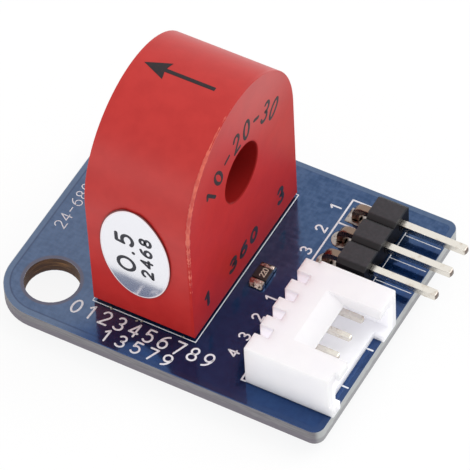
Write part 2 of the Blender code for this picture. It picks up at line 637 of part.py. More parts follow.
def build_resistor(parts, ceramic, metal):
    """The chip resistor: its body, and an end cap with its solder fillet at each end."""
    length, width = RESISTOR_LENGTH, RESISTOR_WIDTH
    low_z = BOARD_TOP + SEAT_GAP
    high_z = low_z + RESISTOR_HEIGHT
    body_half = length / 2 - RESISTOR_CAP
    bm = box_bmesh(
        (RESISTOR_X - width / 2, RESISTOR_Y - body_half, low_z), (RESISTOR_X + width / 2, RESISTOR_Y + body_half, high_z)
    )
    finish(object_from_bmesh("resistor_body", bm, parts), ceramic)
    for side, name in ((-1, "near"), (1, "far")):
        start = RESISTOR_Y + side * (body_half + SEAT_GAP)
        end = RESISTOR_Y + side * length / 2
        bm = box_bmesh(
            (RESISTOR_X - width / 2, min(start, end), low_z), (RESISTOR_X + width / 2, max(start, end), high_z)
        )
        foot = [vert for vert in bm.verts if abs(vert.co.y - end) < 0.001 * MM and vert.co.z < (low_z + high_z) / 2]
        bmesh.ops.translate(bm, vec=(0.0, side * RESISTOR_FILLET, 0.0), verts=foot)
        finish(object_from_bmesh(f"resistor_cap_{name}", bm, parts), metal)


def main():
    """Build every piece of the module."""
    clear_scene()
    parts = new_collection("current_transformer_module")
    cutters = new_collection("cutters")
    blue = material("board_blue", (0.03, 0.07, 0.22), 0.35)
    red = material("case_red", (0.62, 0.05, 0.04), 0.4)
    black = material("header_black", (0.03, 0.03, 0.035), 0.5)
    white = material("connector_white", (0.86, 0.84, 0.87), 0.4)
    tin = material("tinned_pin", (0.8, 0.77, 0.7), 0.25, 1.0)
    solder = material("solder", (0.62, 0.62, 0.63), 0.3, 1.0)
    copper = material("winding_copper", (0.55, 0.2, 0.08), 0.4, 1.0)
    iron = material("core_grey", (0.12, 0.12, 0.13), 0.5, 0.6)
    resin = material("potting_resin", (0.05, 0.04, 0.04), 0.4)
    film = material("label_film", (0.9, 0.9, 0.92), 0.3)
    ceramic = material("resistor_black", (0.03, 0.03, 0.03), 0.4)
    build_board(parts, cutters, blue)
    build_case(parts, cutters, red)
    build_label(parts, cutters, film)
    build_core(parts, iron)
    build_winding(parts, copper)
    build_potting(parts, cutters, resin)
    build_terminals(parts, tin)
    build_header(parts, cutters, black, tin)
    build_connector(parts, cutters, white, tin)
    build_solder(parts, solder)
    build_resistor(parts, ceramic, solder)
    bpy.context.view_layer.update()


main()
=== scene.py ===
"""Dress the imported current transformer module: finishes, prints, studio and camera.

Everything is in metres in the module's own frame. Sizes below are written in millimetres through MM.
"""
import logging
import math
import random
from collections.abc import Callable, Mapping, Sequence
from dataclasses import dataclass
from enum import Enum

import bmesh
import bpy
from bmesh.types import BMesh, BMVert
from bpy.types import ID, Material, Node, NodeSocket, NodeTree, Object
from mathutils import Matrix, Vector


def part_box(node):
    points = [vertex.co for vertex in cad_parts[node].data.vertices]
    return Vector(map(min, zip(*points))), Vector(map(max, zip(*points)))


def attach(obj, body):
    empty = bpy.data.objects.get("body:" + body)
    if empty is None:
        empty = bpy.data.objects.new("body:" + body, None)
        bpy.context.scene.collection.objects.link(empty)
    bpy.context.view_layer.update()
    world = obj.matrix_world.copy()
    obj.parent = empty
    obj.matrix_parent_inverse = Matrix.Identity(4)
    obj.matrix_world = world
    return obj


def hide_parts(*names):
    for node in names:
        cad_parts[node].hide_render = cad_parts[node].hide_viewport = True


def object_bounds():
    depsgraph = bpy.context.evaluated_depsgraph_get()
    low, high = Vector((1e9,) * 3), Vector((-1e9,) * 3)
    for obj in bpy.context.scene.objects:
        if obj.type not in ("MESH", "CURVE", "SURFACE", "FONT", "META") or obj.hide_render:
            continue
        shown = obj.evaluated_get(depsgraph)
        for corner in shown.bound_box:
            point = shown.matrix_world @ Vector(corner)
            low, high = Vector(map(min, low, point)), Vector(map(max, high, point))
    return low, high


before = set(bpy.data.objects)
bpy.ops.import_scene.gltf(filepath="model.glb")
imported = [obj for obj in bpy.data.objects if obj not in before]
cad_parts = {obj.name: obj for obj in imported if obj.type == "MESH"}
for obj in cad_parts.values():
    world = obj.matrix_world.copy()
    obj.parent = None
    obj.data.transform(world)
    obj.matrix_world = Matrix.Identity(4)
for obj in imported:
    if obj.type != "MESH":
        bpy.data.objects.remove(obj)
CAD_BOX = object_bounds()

LOG = logging.getLogger("module")
MM = 0.001
WELD = 0.0005 * MM
BODY = "root"

Point = tuple[float, float]
Colour = tuple[float, float, float]
Inputs = Mapping[str | int, object]
Strokes = Sequence[Sequence[Point]]

# Every leg through the board, with the reach from its own axis in millimetres
LEGS = {f"{row}_{number}": reach
        for row, count, reach in (("transformer", 2, 0.40), ("header", 3, 0.36), ("connector", 4, 0.28))
        for number in range(1, count + 1)}
PIN_EDGE = 0.04 * MM


class Slot(str, Enum):
    """The record's material slots."""

    BOARD = "board_blue"
    CASE = "case_red"
    LABEL = "label_film"
    CORE = "core_grey"
    WINDING = "winding_copper"
    POTTING = "potting_resin"
    PIN = "tinned_pin"
    HEADER = "header_black"
    CONNECTOR = "connector_white"
    RESISTOR = "resistor_black"
    SOLDER = "solder"


# Shader building


def operator(operation: str, reflected: bool = False) -> Callable[..., "Wire"]:
    """A method of Wire that adds one Math node, with the wire as its last value if reflected."""
    def apply(wire: "Wire", *others: "Wire | float") -> "Wire":
        """Add the node."""
        return wire.shader.math(operation, *((*others, wire) if reflected else (wire, *others)))
    return apply


class Wire:
    """A shader socket whose arithmetic operators add Math nodes to its shader."""

    def __init__(self, shader: "Shader", socket: NodeSocket) -> None:
        """Keep the shader and the socket that the wire comes from."""
        self.shader = shader
        self.socket = socket

    __add__, __radd__ = operator("ADD"), operator("ADD", True)
    __sub__, __rsub__ = operator("SUBTRACT"), operator("SUBTRACT", True)
    __mul__, __rmul__ = operator("MULTIPLY"), operator("MULTIPLY", True)
    __gt__, __lt__ = operator("GREATER_THAN"), operator("LESS_THAN")
    __abs__ = operator("ABSOLUTE")


def feed(node: Node, inputs: Inputs) -> None:
    """Give a node's sockets their values, or links from wires and other sockets."""
    for name, value in inputs.items():
        source = value.socket if isinstance(value, Wire) else value
        if isinstance(source, NodeSocket):
            node.id_data.links.new(source, node.inputs[name])
        else:
            node.inputs[name].default_value = source


def add_node(tree: NodeTree, kind: str, settings: Mapping[str, object] | None = None,
             inputs: Inputs | None = None) -> Node:
    """Add one node to a tree.

    Args:
        tree: the tree.
        kind: the node's type.
        settings: its properties, set first.
        inputs: values, wires or sockets for its own sockets, by name or number.

    Returns:
        The node.
    """
    node = tree.nodes.new(kind)
    for name, value in (settings or {}).items():
        setattr(node, name, value)
    feed(node, inputs or {})
    return node


class Shader:
    """A material under construction around one Principled shader."""

    MIX_FACTOR, MIX_FIRST, MIX_SECOND, MIX_RESULT = 0, 6, 7, 2

    def __init__(self, name: str) -> None:
        """Start a material whose pattern space is the object's own, in millimetres."""
        self.material = bpy.data.materials.new(name)
        self.material.use_nodes = True
        self.tree = self.material.node_tree
        self.tree.nodes.clear()
        self.surface = self.node("ShaderNodeBsdfPrincipled")
        self.node("ShaderNodeOutputMaterial", inputs={"Surface": self.wire(self.surface, "BSDF")})
        place = self.node("ShaderNodeTexCoord")
        scaled = self.node("ShaderNodeVectorMath", {"operation": "SCALE"},
                           {0: self.wire(place, "Object"), "Scale": 1.0 / MM})
        self.place = self.wire(scaled)
        split = self.node("ShaderNodeSeparateXYZ", inputs={0: self.place})
        self.x, self.y, self.z = (self.wire(split, axis) for axis in "XYZ")

    def node(self, kind: str, settings: Mapping[str, object] | None = None,
             inputs: Inputs | None = None) -> Node:
        """Add one node to this material, as add_node does."""
        return add_node(self.tree, kind, settings, inputs)

    def wire(self, node: Node, output: str | int = 0) -> Wire:
        """Take a node's output as a wire."""
        return Wire(self, node.outputs[output])

    def math(self, operation: str, *values: Wire | float) -> Wire:
        """Add one Math node on the given values."""
        return self.wire(self.node("ShaderNodeMath", {"operation": operation}, dict(enumerate(values))))

    def smaller(self, first: Wire | float, second: Wire | float) -> Wire:
        """The smaller of two values."""
        return self.math("MINIMUM", first, second)

    def larger(self, first: Wire | float, second: Wire | float) -> Wire:
        """The larger of two values."""
        return self.math("MAXIMUM", first, second)

    def length(self, across: Wire, along: Wire) -> Wire:
        """The length of a flat vector."""
        return self.math("SQRT", across * across + along * along)

    def rise(self, value: Wire, low: float, high: float) -> Wire:
        """A smooth step from 0 at low to 1 at high; low may be the larger one."""
        return self.wire(self.node(
            "ShaderNodeMapRange", {"interpolation_type": "SMOOTHSTEP"},
            {"Value": value, "From Min": low, "From Max": high, "To Min": 0.0, "To Max": 1.0}))

    def noise(self, grain: float, detail: float = 2.0, stretch: tuple[float, float, float] = (1.0, 1.0, 1.0),
              shift: float = 0.0) -> Wire:
        """Cloudy noise from 0 to 1.

        Args:
            grain: the size of its patches in millimetres.
            detail: how many finer layers it has.
            stretch: how far the patches are drawn out along each axis.
            shift: a move of the pattern, for a second noise that differs from the first.

        Returns:
            The noise.
        """
        mapping = self.node("ShaderNodeMapping", inputs={
            "Vector": self.place, "Location": (shift, shift, shift),
            "Scale": tuple(1.0 / (grain * factor) for factor in stretch)})
        return self.wire(self.node("ShaderNodeTexNoise", inputs={
            "Vector": self.wire(mapping), "Scale": 1.0, "Detail": detail, "Roughness": 0.55}), "Fac")

    def blend(self, mask: Wire | float, first: Wire | Colour, second: Wire | Colour) -> Wire:
        """Mix two colours, the second one where the mask is 1."""
        inputs: dict[str | int, object] = {self.MIX_FACTOR: mask}
        for socket, colour in ((self.MIX_FIRST, first), (self.MIX_SECOND, second)):
            inputs[socket] = colour if isinstance(colour, Wire) else (*colour, 1.0)
        node = self.node("ShaderNodeMix", {"data_type": "RGBA"}, inputs)
        return self.wire(node, self.MIX_RESULT)

    def bump(self, height: Wire, depth: float, under: Wire | None = None) -> Wire:
        """Turn a height from 0 to 1 into a normal, for a relief of the given depth in millimetres."""
        inputs: dict[str | int, object] = {"Height": height, "Distance": depth * MM, "Strength": 1.0}
        if under is not None:
            inputs["Normal"] = under
        return self.wire(self.node("ShaderNodeBump", inputs=inputs))

    def finish(self, inputs: Inputs) -> Material:
        """Feed the Principled shader and hand over the material."""
        feed(self.surface, inputs)
        return self.material


# Finishes


@dataclass(frozen=True)
class Finish:
    """A surface's finish. Lengths are millimetres, here and in its kinds."""

    name: str

    def material(self) -> Material:
        """Make the material."""
        shader = Shader(self.name)
        return shader.finish(self.inputs(shader))

    def inputs(self, shader: Shader) -> Inputs:
        """The Principled shader's values and wires, by socket."""
        raise NotImplementedError


@dataclass(frozen=True)
class Moulding(Finish):
    """A moulded or cast plastic with a faint grain and an uneven gloss."""

    colour: Colour
    tint: Colour
    roughness: float
    gloss_spread: float = 0.08
    grain: float = 0.12
    grain_depth: float = 0.004
    wave: float = 2.5
    wave_depth: float = 0.01
    translucency: float = 0.0
    specular: float = 0.5
    glow_depth: float = 0.6

    def inputs(self, shader: Shader) -> Inputs:
        """As in Finish."""
        cloud = shader.noise(self.wave, 3.0)
        speck = shader.noise(self.grain, 2.0, shift=3.7)
        patch = shader.rise(cloud, 0.3, 0.7)
        normal = shader.bump(cloud, self.wave_depth, shader.bump(speck, self.grain_depth))
        return {
            "Base Color": self.colouring(shader, patch),
            "Roughness": (self.roughness + (speck - 0.5) * self.gloss_spread
                          + (cloud - 0.5) * self.gloss_spread),
            "Normal": normal,
            "Specular IOR Level": self.specular,
            "Subsurface Weight": self.translucency,
            "Subsurface Radius": (1.0, 1.0, 1.0),
            "Subsurface Scale": self.glow_depth * MM,
            **self.sheen(shader),
        }

    def sheen(self, shader: Shader) -> Inputs:
        """The sockets of a second gloss, which most mouldings lack."""
        return {}

    def colouring(self, shader: Shader, patch: Wire) -> Wire:
        """The colour over the surface, its tint where the patch is 1."""
        return shader.blend(patch, self.colour, self.tint)


@dataclass(frozen=True)
class BoredMoulding(Moulding):
    """A moulding whose bore along X is duller and painted darker as painted shade, rubbed shiny towards its
    top.
    """

    bore: Point = (0.0, 0.0)
    bore_radius: float = 1.0
    # painted shade: the colour that the inside of the bore is painted
    bore_colour: Colour = (0.27, 0.010, 0.009)
    bored_face: float = 0.0
    sides_rubbed: Point = (2.0, 13.0)
    sides_gloss: Point = (0.10, 0.46)
    face_rubbed: tuple[float, ...] = (6.0, 12.0, 20.0)
    face_gloss: tuple[float, ...] = (0.10, 0.44, 0.24)

    def from_bore(self, shader: Shader) -> Wire:
        """The distance from the bore's axis."""
        return shader.length(shader.y - self.bore[0], shader.z - self.bore[1])

    def colouring(self, shader: Shader, patch: Wire) -> Wire:
        """The colour over the surface, with painted shade inside the bore."""
        # Painted shade: the inside of the bore is painted darker.
        painted_shade = shader.rise(self.from_bore(shader), self.bore_radius + 0.12, self.bore_radius + 0.02)
        return shader.blend(painted_shade, super().colouring(shader, patch), self.bore_colour)

    def sheen(self, shader: Shader) -> Inputs:
        """The soft gloss of the rubbed upper part."""
        foot, middle, top = self.face_rubbed
        low, high, far = self.face_gloss
        outside = shader.rise(self.from_bore(shader), self.bore_radius + 0.05, self.bore_radius + 0.25)
        away = shader.rise(shader.x, self.bored_face - 0.15, self.bored_face - 0.35)
        sides = self.sides_gloss[0] + shader.rise(shader.z, *self.sides_rubbed) * self.sides_gloss[1]
        bored = (shader.rise(shader.z, foot, middle) * low
                 + shader.rise(shader.z, middle, top) * (high + shader.rise(shader.y, -3.0, 7.0) * far))
        return {"Coat Weight": outside * (away * sides + (1.0 - away) * bored), "Coat Roughness": 0.4}


@dataclass(frozen=True)
class ScuffedMoulding(Moulding):
    """A moulding whose top face and shoulders are painted paler as painted light, unevenly in patches on the
    top.
    """

    top: float = 1.0
    # painted light: the colour that the top face is painted
    scuff: Colour = (0.065, 0.062, 0.068)
    shoulder: float = 0.38
    shoulder_colour: Colour = (0.042, 0.042, 0.044)
    even_wear: float = 0.6

    def colouring(self, shader: Shader, patch: Wire) -> Wire:
        """The colour over the surface, with painted light on the shoulders and the top."""
        # Painted light: the top face and the upper band are painted paler; the noise only makes the top
        # uneven.
        high = shader.rise(shader.z, self.top - 0.10, self.top - 0.03)
        rubbed = shader.rise(shader.noise(0.3, 3.0, shift=9.1), 0.4, 0.7)
        worn = high * (self.even_wear + rubbed * (1.0 - self.even_wear))
        bevel = shader.rise(shader.z, self.top - self.shoulder - 0.02, self.top - self.shoulder + 0.02)
        colour = shader.blend(bevel, super().colouring(shader, patch), self.shoulder_colour)
        return shader.blend(worn, colour, self.scuff)


@dataclass(frozen=True)
class HollowMoulding(Moulding):
    """A thin white moulding with a painted glow: an emission in its hollow and its comb that stands in for
    the light coming through its walls.
    """

    hollow: float = 10.8
    comb: float = 10.2
    roof: float = 5.0
    sides: Point = (0.0, 1.0)
    # painted glow: the colour that the hollow and the slots emit
    glow: Colour = (0.19, 0.19, 0.205)
    inside_share: float = 0.55
    slots_share: float = 0.9

    def sheen(self, shader: Shader) -> Inputs:
        """The painted glow, an emission in the hollow and the slots in place of the light that comes through
        the walls.
        """
        near, far = self.sides
        lit = shader.rise(shader.z, self.roof, self.roof - 0.5)
        inside = shader.rise(shader.x, self.hollow, self.hollow + 0.3) * lit
        open_top = shader.rise(shader.z, self.roof + 0.7, self.roof)
        slots = shader.rise(shader.x, self.comb, self.comb - 0.3) * open_top
        between = shader.rise(shader.y, near + 0.5, near + 0.9) * shader.rise(shader.y, far - 0.5, far - 0.9)
        # Painted glow: the hollow and the slots emit light of their own.
        share = between * (inside * self.inside_share + slots * self.slots_share)
        return {"Emission Color": shader.blend(share, (0.0, 0.0, 0.0), self.glow), "Emission Strength": 1.6}


@dataclass(frozen=True)
class Metal(Finish):
    """A drawn or molten metal with dull stains and fine scratches along one axis."""

    colour: Colour
    stain: Colour
    roughness: float
    stain_share: float = 0.5
    stain_size: float = 0.6
    scratch: tuple[float, float, float] = (8.0, 1.0, 1.0)
    relief: float = 0.006

    def inputs(self, shader: Shader) -> Inputs:
        """As in Finish."""
        cloud = shader.noise(self.stain_size, 3.0)
        lines = shader.noise(0.06, 1.0, self.scratch)
        stained = shader.rise(cloud, self.stain_share, self.stain_share + 0.25)
        return {
            "Base Color": self.colouring(shader, stained),
            "Metallic": 1.0,
            "Roughness": self.roughness + stained * 0.18 + (lines - 0.5) * 0.1,
            "Normal": shader.bump(lines * 0.4 + cloud, self.relief),
        }

    def colouring(self, shader: Shader, stained: Wire) -> Wire:
        """The colour over the surface, stained where the mask is 1."""
        return shader.blend(stained, self.colour, self.stain)


@dataclass(frozen=True)
class PinMetal(Metal):
    """A pin's tin, painted darker brown on the legs behind the blocks as a painted reflection, and browner at
    the clipped tips.
    """

    legs_end: float = 8.8
    # painted reflection: the colour of the legs behind the blocks
    leg_colour: Colour = (0.24, 0.17, 0.13)
    tip: float = 17.12
    tip_colour: Colour = (0.22, 0.18, 0.16)

    def colouring(self, shader: Shader, stained: Wire) -> Wire:
        """The colour along the pin."""
        colour = super().colouring(shader, stained)
        # Painted reflection: the legs behind the blocks are painted dark brown.
        legs = shader.rise(shader.x, self.legs_end + 0.1, self.legs_end - 0.1)
        colour = shader.blend(legs, colour, self.leg_colour)
        return shader.blend(shader.rise(shader.x, self.tip - 0.12, self.tip - 0.04), colour, self.tip_colour)


@dataclass(frozen=True)
class Ink(Finish):
    """A printed ink film that is a little uneven."""

    colour: Colour
    thin: Colour
    roughness: float
    specular: float = 0.5

    def inputs(self, shader: Shader) -> Inputs:
        """As in Finish."""
        worn = shader.rise(shader.noise(0.3, 3.0), 0.5, 0.8)
        return {
            "Base Color": shader.blend(worn, self.colour, self.thin),
            "Roughness": self.roughness + worn * 0.2,
            "Specular IOR Level": self.specular,
            "Normal": shader.bump(shader.noise(0.1), 0.004),
        }


@dataclass(frozen=True)
class Film(Finish):
    """A half-bright oval label film with a paler rim and a painted shadow, a thin dark red line at its
    outline.
    """

    centre: Point
    half_width: float
    half_height: float
    film: Colour = (0.88, 0.88, 0.925)
    rim: Colour = (0.93, 0.80, 0.83)
    # painted shadow: the colour of the thin line along the outline
    cut: Colour = (0.16, 0.02, 0.02)
    rim_width: float = 0.15
    cut_width: float = 0.05
    shine: float = 0.78

    def inputs(self, shader: Shader) -> Inputs:
        """As in Finish."""
        inset = self.outline_distance(shader)
        rim = shader.rise(inset, self.rim_width + 0.02, self.rim_width - 0.03)
        # Painted shadow: a thin dark red line along the outline.
        cut = shader.rise(inset, self.cut_width + 0.015, self.cut_width - 0.015)
        wave = shader.noise(3.0, 1.0, (1.0, 1.0, 2.5))
        colour = shader.blend(rim, self.film, self.rim)
        return {
            "Base Color": shader.blend(cut, colour, self.cut),
            "Metallic": self.shine * (1.0 - rim),
            "Roughness": 0.13 + (shader.noise(0.8) - 0.5) * 0.06 + rim * 0.2,
            "Normal": shader.bump(wave, 0.02),
        }

    def outline_distance(self, shader: Shader) -> Wire:
        """The distance from the oval's outline, positive inside it."""
        across = (shader.x - self.centre[0]) * (1.0 / self.half_width)
        along = (shader.z - self.centre[1]) * (1.0 / self.half_height)
        reach = shader.length(across, along)
        slope = shader.length(across * (1.0 / self.half_width), along * (1.0 / self.half_height))
        return shader.math("DIVIDE", 1.0 - reach * reach, 2.0 * slope)


@dataclass(frozen=True)
class SolderMask(Finish):
    """The board's blue mask over copper and glass cloth, and its bare edges. Its left corners are larger."""

    half_length: float
    half_width: float
    thickness: float
    hole_place: Point
    hole_radius: float
    corner: float
    plain_corner: float
    skin: float = 0.05
    mask: Colour = (0.024, 0.064, 0.160)
    mask_light: Colour = (0.054, 0.104, 0.222)
    # painted shade: the mask's colours towards the front right
    deep_mask: Colour = (0.008, 0.041, 0.150)
    deep_light: Colour = (0.015, 0.059, 0.190)
    border: Colour = (0.110, 0.165, 0.270)
    deep_border: Colour = (0.026, 0.060, 0.165)
    ring: Colour = (0.090, 0.075, 0.110)
    seam: Colour = (0.010, 0.028, 0.095)
    edge: Colour = (0.235, 0.228, 0.240)
    edge_dark: Colour = (0.150, 0.142, 0.160)
    edge_low: Colour = (0.175, 0.158, 0.190)
    edge_lit: Colour = (0.460, 0.475, 0.475)
    drilled: Colour = (0.070, 0.030, 0.012)
    drilled_light: Colour = (0.300, 0.150, 0.055)
    pour_inset: float = 0.55
    ring_width: float = 0.28
    metallic: float = 0.72
    roughness: Point = (0.70, 0.14)
    coat_loss: float = 0.72

    def inputs(self, shader: Shader) -> Inputs:
        """As in Finish."""
        inset = self.outline_distance(shader)
        from_hole = shader.length(shader.x - self.hole_place[0], abs(shader.y) - self.hole_place[1])
        hole = from_hole - self.hole_radius
        face = shader.larger(shader.z > self.thickness - self.skin, shader.z < self.skin)
        cloth = (shader.noise(0.30, 1.5, (2.6, 1.0, 1.0))
                 + shader.noise(0.30, 1.5, (1.0, 2.6, 1.0), 5.1)) * 0.5
        cloud = shader.noise(2.2, 3.0)
        light = shader.rise(cloth * 0.7 + cloud * 0.3, 0.38, 0.62)
        border = shader.rise(inset, -self.pour_inset, -self.pour_inset + 0.08)
        ring = shader.rise(hole, self.ring_width + 0.08, self.ring_width - 0.10)
        left = shader.rise(shader.x, 2.0, -8.0)
        # Painted shade: towards the front right the mask is painted a darker blue and, through dull, loses
        # most of its coat.
        painted_shade = shader.rise(shader.x - shader.y, 2.0, 7.0)
        dull = shader.larger(painted_shade, shader.rise(shader.x, -2.0, 3.0))
        seam = shader.rise(abs(inset + self.pour_inset), 0.10, 0.02) * (0.15 + left * 0.5)
        colour = shader.blend(light, shader.blend(painted_shade, self.mask, self.deep_mask),
                              shader.blend(painted_shade, self.mask_light, self.deep_light))
        colour = shader.blend(shader.larger(border * 0.6, left * 0.2), colour,
                              shader.blend(painted_shade, self.border, self.deep_border))
        colour = shader.blend(seam, colour, self.seam)
        colour = shader.blend(ring * 0.8, colour, self.ring)
        colour = shader.blend(face, self.cut_colour(shader, inset), colour)
        relief = shader.bump(cloth, 0.008, shader.bump(cloud, 0.012))
        cut_rough, mask_rough = self.roughness
        return {
            "Base Color": colour,
            "Metallic": face * self.metallic,
            "Roughness": cut_rough - face * (cut_rough - mask_rough) + (cloth - 0.5) * 0.05,
            "Coat Weight": face * (1.0 - dull * self.coat_loss),
            "Coat Roughness": 0.06,
            "Normal": relief,
        }

    def outline_distance(self, shader: Shader) -> Wire:
        """The distance to the board's outline, negative inside it."""
        corner = self.plain_corner + (shader.x < 0.0) * (self.corner - self.plain_corner)
        along = abs(shader.x) - self.half_length + corner
        across = abs(shader.y) - self.half_width + corner
        outside = shader.length(shader.larger(along, 0.0), shader.larger(across, 0.0))
        return outside + shader.smaller(shader.larger(along, across), 0.0) - corner

    def cut_colour(self, shader: Shader, inset: Wire) -> Wire:
        """The milled glass laminate of the outline, with its streaks and painted light at the +X end, and the
        browner drilled walls.
        """
        streaks = shader.noise(0.5, 3.0, (3.0, 3.0, 0.16))
        layers = shader.noise(0.12, 1.0, (20.0, 20.0, 1.0), 2.3)
        pale = shader.rise(streaks * 0.6 + layers * 0.4, 0.34, 0.60)
        milled = shader.blend(pale, self.edge_dark, self.edge)
        ragged = shader.z + (shader.noise(0.8, 2.0) - 0.5) * 0.5
        low = shader.rise(ragged, self.thickness * 0.52, self.thickness * 0.36)
        milled = shader.blend(low * 0.8, milled, self.edge_low)
        # Painted light: the milled edge at the board's +X end is painted paler, less so low down.
        end = shader.rise(shader.x, self.half_length - 0.5, self.half_length - 0.15)
        milled = shader.blend(end * (1.0 - low * 0.45), milled, self.edge_lit)
        fibres = shader.rise(streaks * 0.5 + layers * 0.5, 0.52, 0.66)
        wall = shader.blend(fibres, self.drilled, self.drilled_light)
        return shader.blend(shader.rise(inset, -0.15, -0.35), milled, wall)


# Meshes


def placed(name: str, data: ID) -> Object:
    """A new object around the data, in the scene."""
    item = bpy.data.objects.new(name, data)
    bpy.context.scene.collection.objects.link(item)
    return item


def finished(mesh: BMesh, name: str, material: Material,
             replaced: Sequence[str] = (), smooth_below: float = 40.0, weighted: bool = False) -> None:
    """Turn a bmesh into a piece of the module.

    Args:
        mesh: the piece's shape in the module's frame; it is freed.
        name: the piece's name.
        material: its finish.
        replaced: the CAD nodes that it stands for.
        smooth_below: edges that turn by less than this many degrees are shaded smooth.
        weighted: whether flat faces keep their own normal beside rounded edges.
    """
    limit = math.radians(smooth_below)
    for face in mesh.faces:
        face.smooth = True
    for edge in mesh.edges:
        edge.smooth = edge.is_manifold and edge.calc_face_angle(math.pi) < limit
    data = bpy.data.meshes.new(name)
    mesh.to_mesh(data)
    mesh.free()
    data.materials.append(material)
    piece = placed(name, data)
    if weighted:
        modifier = piece.modifiers.new("flat_faces", "WEIGHTED_NORMAL")
        modifier.keep_sharp = True
        modifier.weight = 100
    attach(piece, BODY)
    if replaced:
        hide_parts(*replaced)
    LOG.info("%s: %d faces", name, len(data.polygons))


def node_copy(node: str) -> BMesh:
    """A merged copy of a CAD node's mesh, with its flat faces whole again."""
    mesh = bmesh.new()
    mesh.from_mesh(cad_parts[node].data)
    bmesh.ops.remove_doubles(mesh, verts=mesh.verts, dist=WELD)
    bmesh.ops.dissolve_limit(mesh, angle_limit=math.radians(0.5), verts=mesh.verts, edges=mesh.edges)
    return mesh


def soften(mesh: BMesh, radius: float, sharp_above: float, segments: int = 2) -> None:
    """Round the sharp edges of a mesh.

    Args:
        mesh: the mesh.
        radius: how far the rounding reaches, in metres.
        sharp_above: the least turn of an edge that is rounded, in degrees.
        segments: the rounding's steps.
    """
    limit = math.radians(sharp_above)
    sharp = [edge for edge in mesh.edges if edge.is_manifold and edge.calc_face_angle(0.0) > limit]
    bmesh.ops.bevel(mesh, geom=sharp, offset=radius, offset_type="OFFSET", segments=segments, profile=0.5,
                    affect="EDGES", material=-1, clamp_overlap=True)


def redressed(node: str, name: str, material: Material, edge: float = 0.0,
              sharp_above: float = 50.0, segments: int = 2, smooth_below: float = 50.0,
              weighted: bool = True) -> None:
    """Put a copy with softened edges in a CAD node's place; see node_copy, soften and finished."""
    mesh = node_copy(node)
    if edge:
        soften(mesh, edge, sharp_above, segments)
    finished(mesh, name, material, [node], smooth_below, weighted)


def bent_pins(row: str, ways: int, tin: Material) -> None:
    """Make the bent pins of a header or a connector."""
    for way in range(1, ways + 1):
        redressed(f"{row}_pin_{way}", f"{row}_post_{way}", tin, PIN_EDGE)


def dress(node: str, material: Material) -> None:
    """Give a CAD node that keeps its own shape its finish."""
    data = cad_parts[node].data
    data.materials.clear()
    data.materials.append(material)


def turned_ring(profile: Sequence[Point], centre: Vector, steps: int = 32) -> BMesh:
    """Spin a closed profile of (radius, height) points about an upright axis, all in metres."""
    mesh = bmesh.new()
    loop = [mesh.verts.new((centre.x + reach, centre.y, centre.z + height)) for reach, height in profile]
    edges = [mesh.edges.new((loop[i - 1], loop[i])) for i in range(len(loop))]
    bmesh.ops.spin(mesh, geom=loop + edges, cent=centre, axis=(0, 0, 1), angle=math.tau, steps=steps,
                   use_merge=True)
    bmesh.ops.recalc_face_normals(mesh, faces=mesh.faces)
    return mesh


def tubes(lines: Sequence[Sequence[tuple[Vector, float]]], radius: float, resolution: int) -> BMesh:
    """Sweep round tubes with closed ends along lines.

    Args:
        lines: the centre lines, as pairs of a place and a share of the radius.
        radius: the full radius, in metres.
        resolution: how fine the round section is.

    Returns:
        The tubes in one mesh.
    """
    data = bpy.data.curves.new("tubes", "CURVE")
    data.dimensions = "3D"
    data.bevel_depth = radius
    data.bevel_resolution = resolution
    data.use_fill_caps = True
    for line in lines:
        spline = data.splines.new("POLY")
        spline.points.add(len(line) - 1)
        for point, (place, share) in zip(spline.points, line):
            point.co = (*place, 1.0)
            point.radius = share
    guide = placed("tubes", data)
    bpy.context.view_layer.update()
    swept = bpy.data.meshes.new_from_object(guide.evaluated_get(bpy.context.evaluated_depsgraph_get()))
    bpy.data.objects.remove(guide)
    bpy.data.curves.remove(data)
    mesh = bmesh.new()
    mesh.from_mesh(swept)
    bpy.data.meshes.remove(swept)
    bmesh.ops.remove_doubles(mesh, verts=mesh.verts, dist=WELD)
    return mesh


def patch_of_ink(outline: Sequence[Point], thickness: float, slices: Sequence[float],
                 bend: Callable[[Vector], Vector]) -> BMesh:
    """Fill an outline with a thin patch of ink and lay it on a curved surface.

    Args:
        outline: the patch's corners, flat, in metres.
        thickness: how far the patch stands above and below the surface.
        slices: the heights on the flat drawing where the patch is cut so that it can bend.
        bend: the move of every point onto the surface.

    Returns:
        The patch.
    """
    mesh = bmesh.new()
    face = mesh.faces.new([mesh.verts.new((x, y, -thickness)) for x, y in outline])
    grown = bmesh.ops.extrude_face_region(mesh, geom=[face])["geom"]
    bmesh.ops.translate(mesh, vec=(0.0, 0.0, 2 * thickness),
                        verts=[item for item in grown if isinstance(item, BMVert)])
    for level in slices:
        bmesh.ops.bisect_plane(mesh, geom=mesh.verts[:] + mesh.edges[:] + mesh.faces[:],
                               plane_co=(0.0, level, 0.0), plane_no=(0.0, 1.0, 0.0))
    for vert in mesh.verts:
        vert.co = bend(vert.co)
    bmesh.ops.recalc_face_normals(mesh, faces=mesh.faces)
    return mesh


# Stroke digits

CELL_WIDTH = 0.62


@dataclass(frozen=True)
class Arc:
    """A stretch of an ellipse in a digit's cell, which is 1 high and CELL_WIDTH wide. Angles are degrees."""

    x: float
    y: float
    across: float
    up: float
    start: float
    end: float

    def points(self) -> list[Point]:
        """Points along the stretch."""
        count = max(3, int(abs(self.end - self.start) / 18.0))
        angles = [math.radians(self.start + (self.end - self.start) * i / count) for i in range(count + 1)]
        return [(self.x + self.across * math.cos(a), self.y + self.up * math.sin(a)) for a in angles]


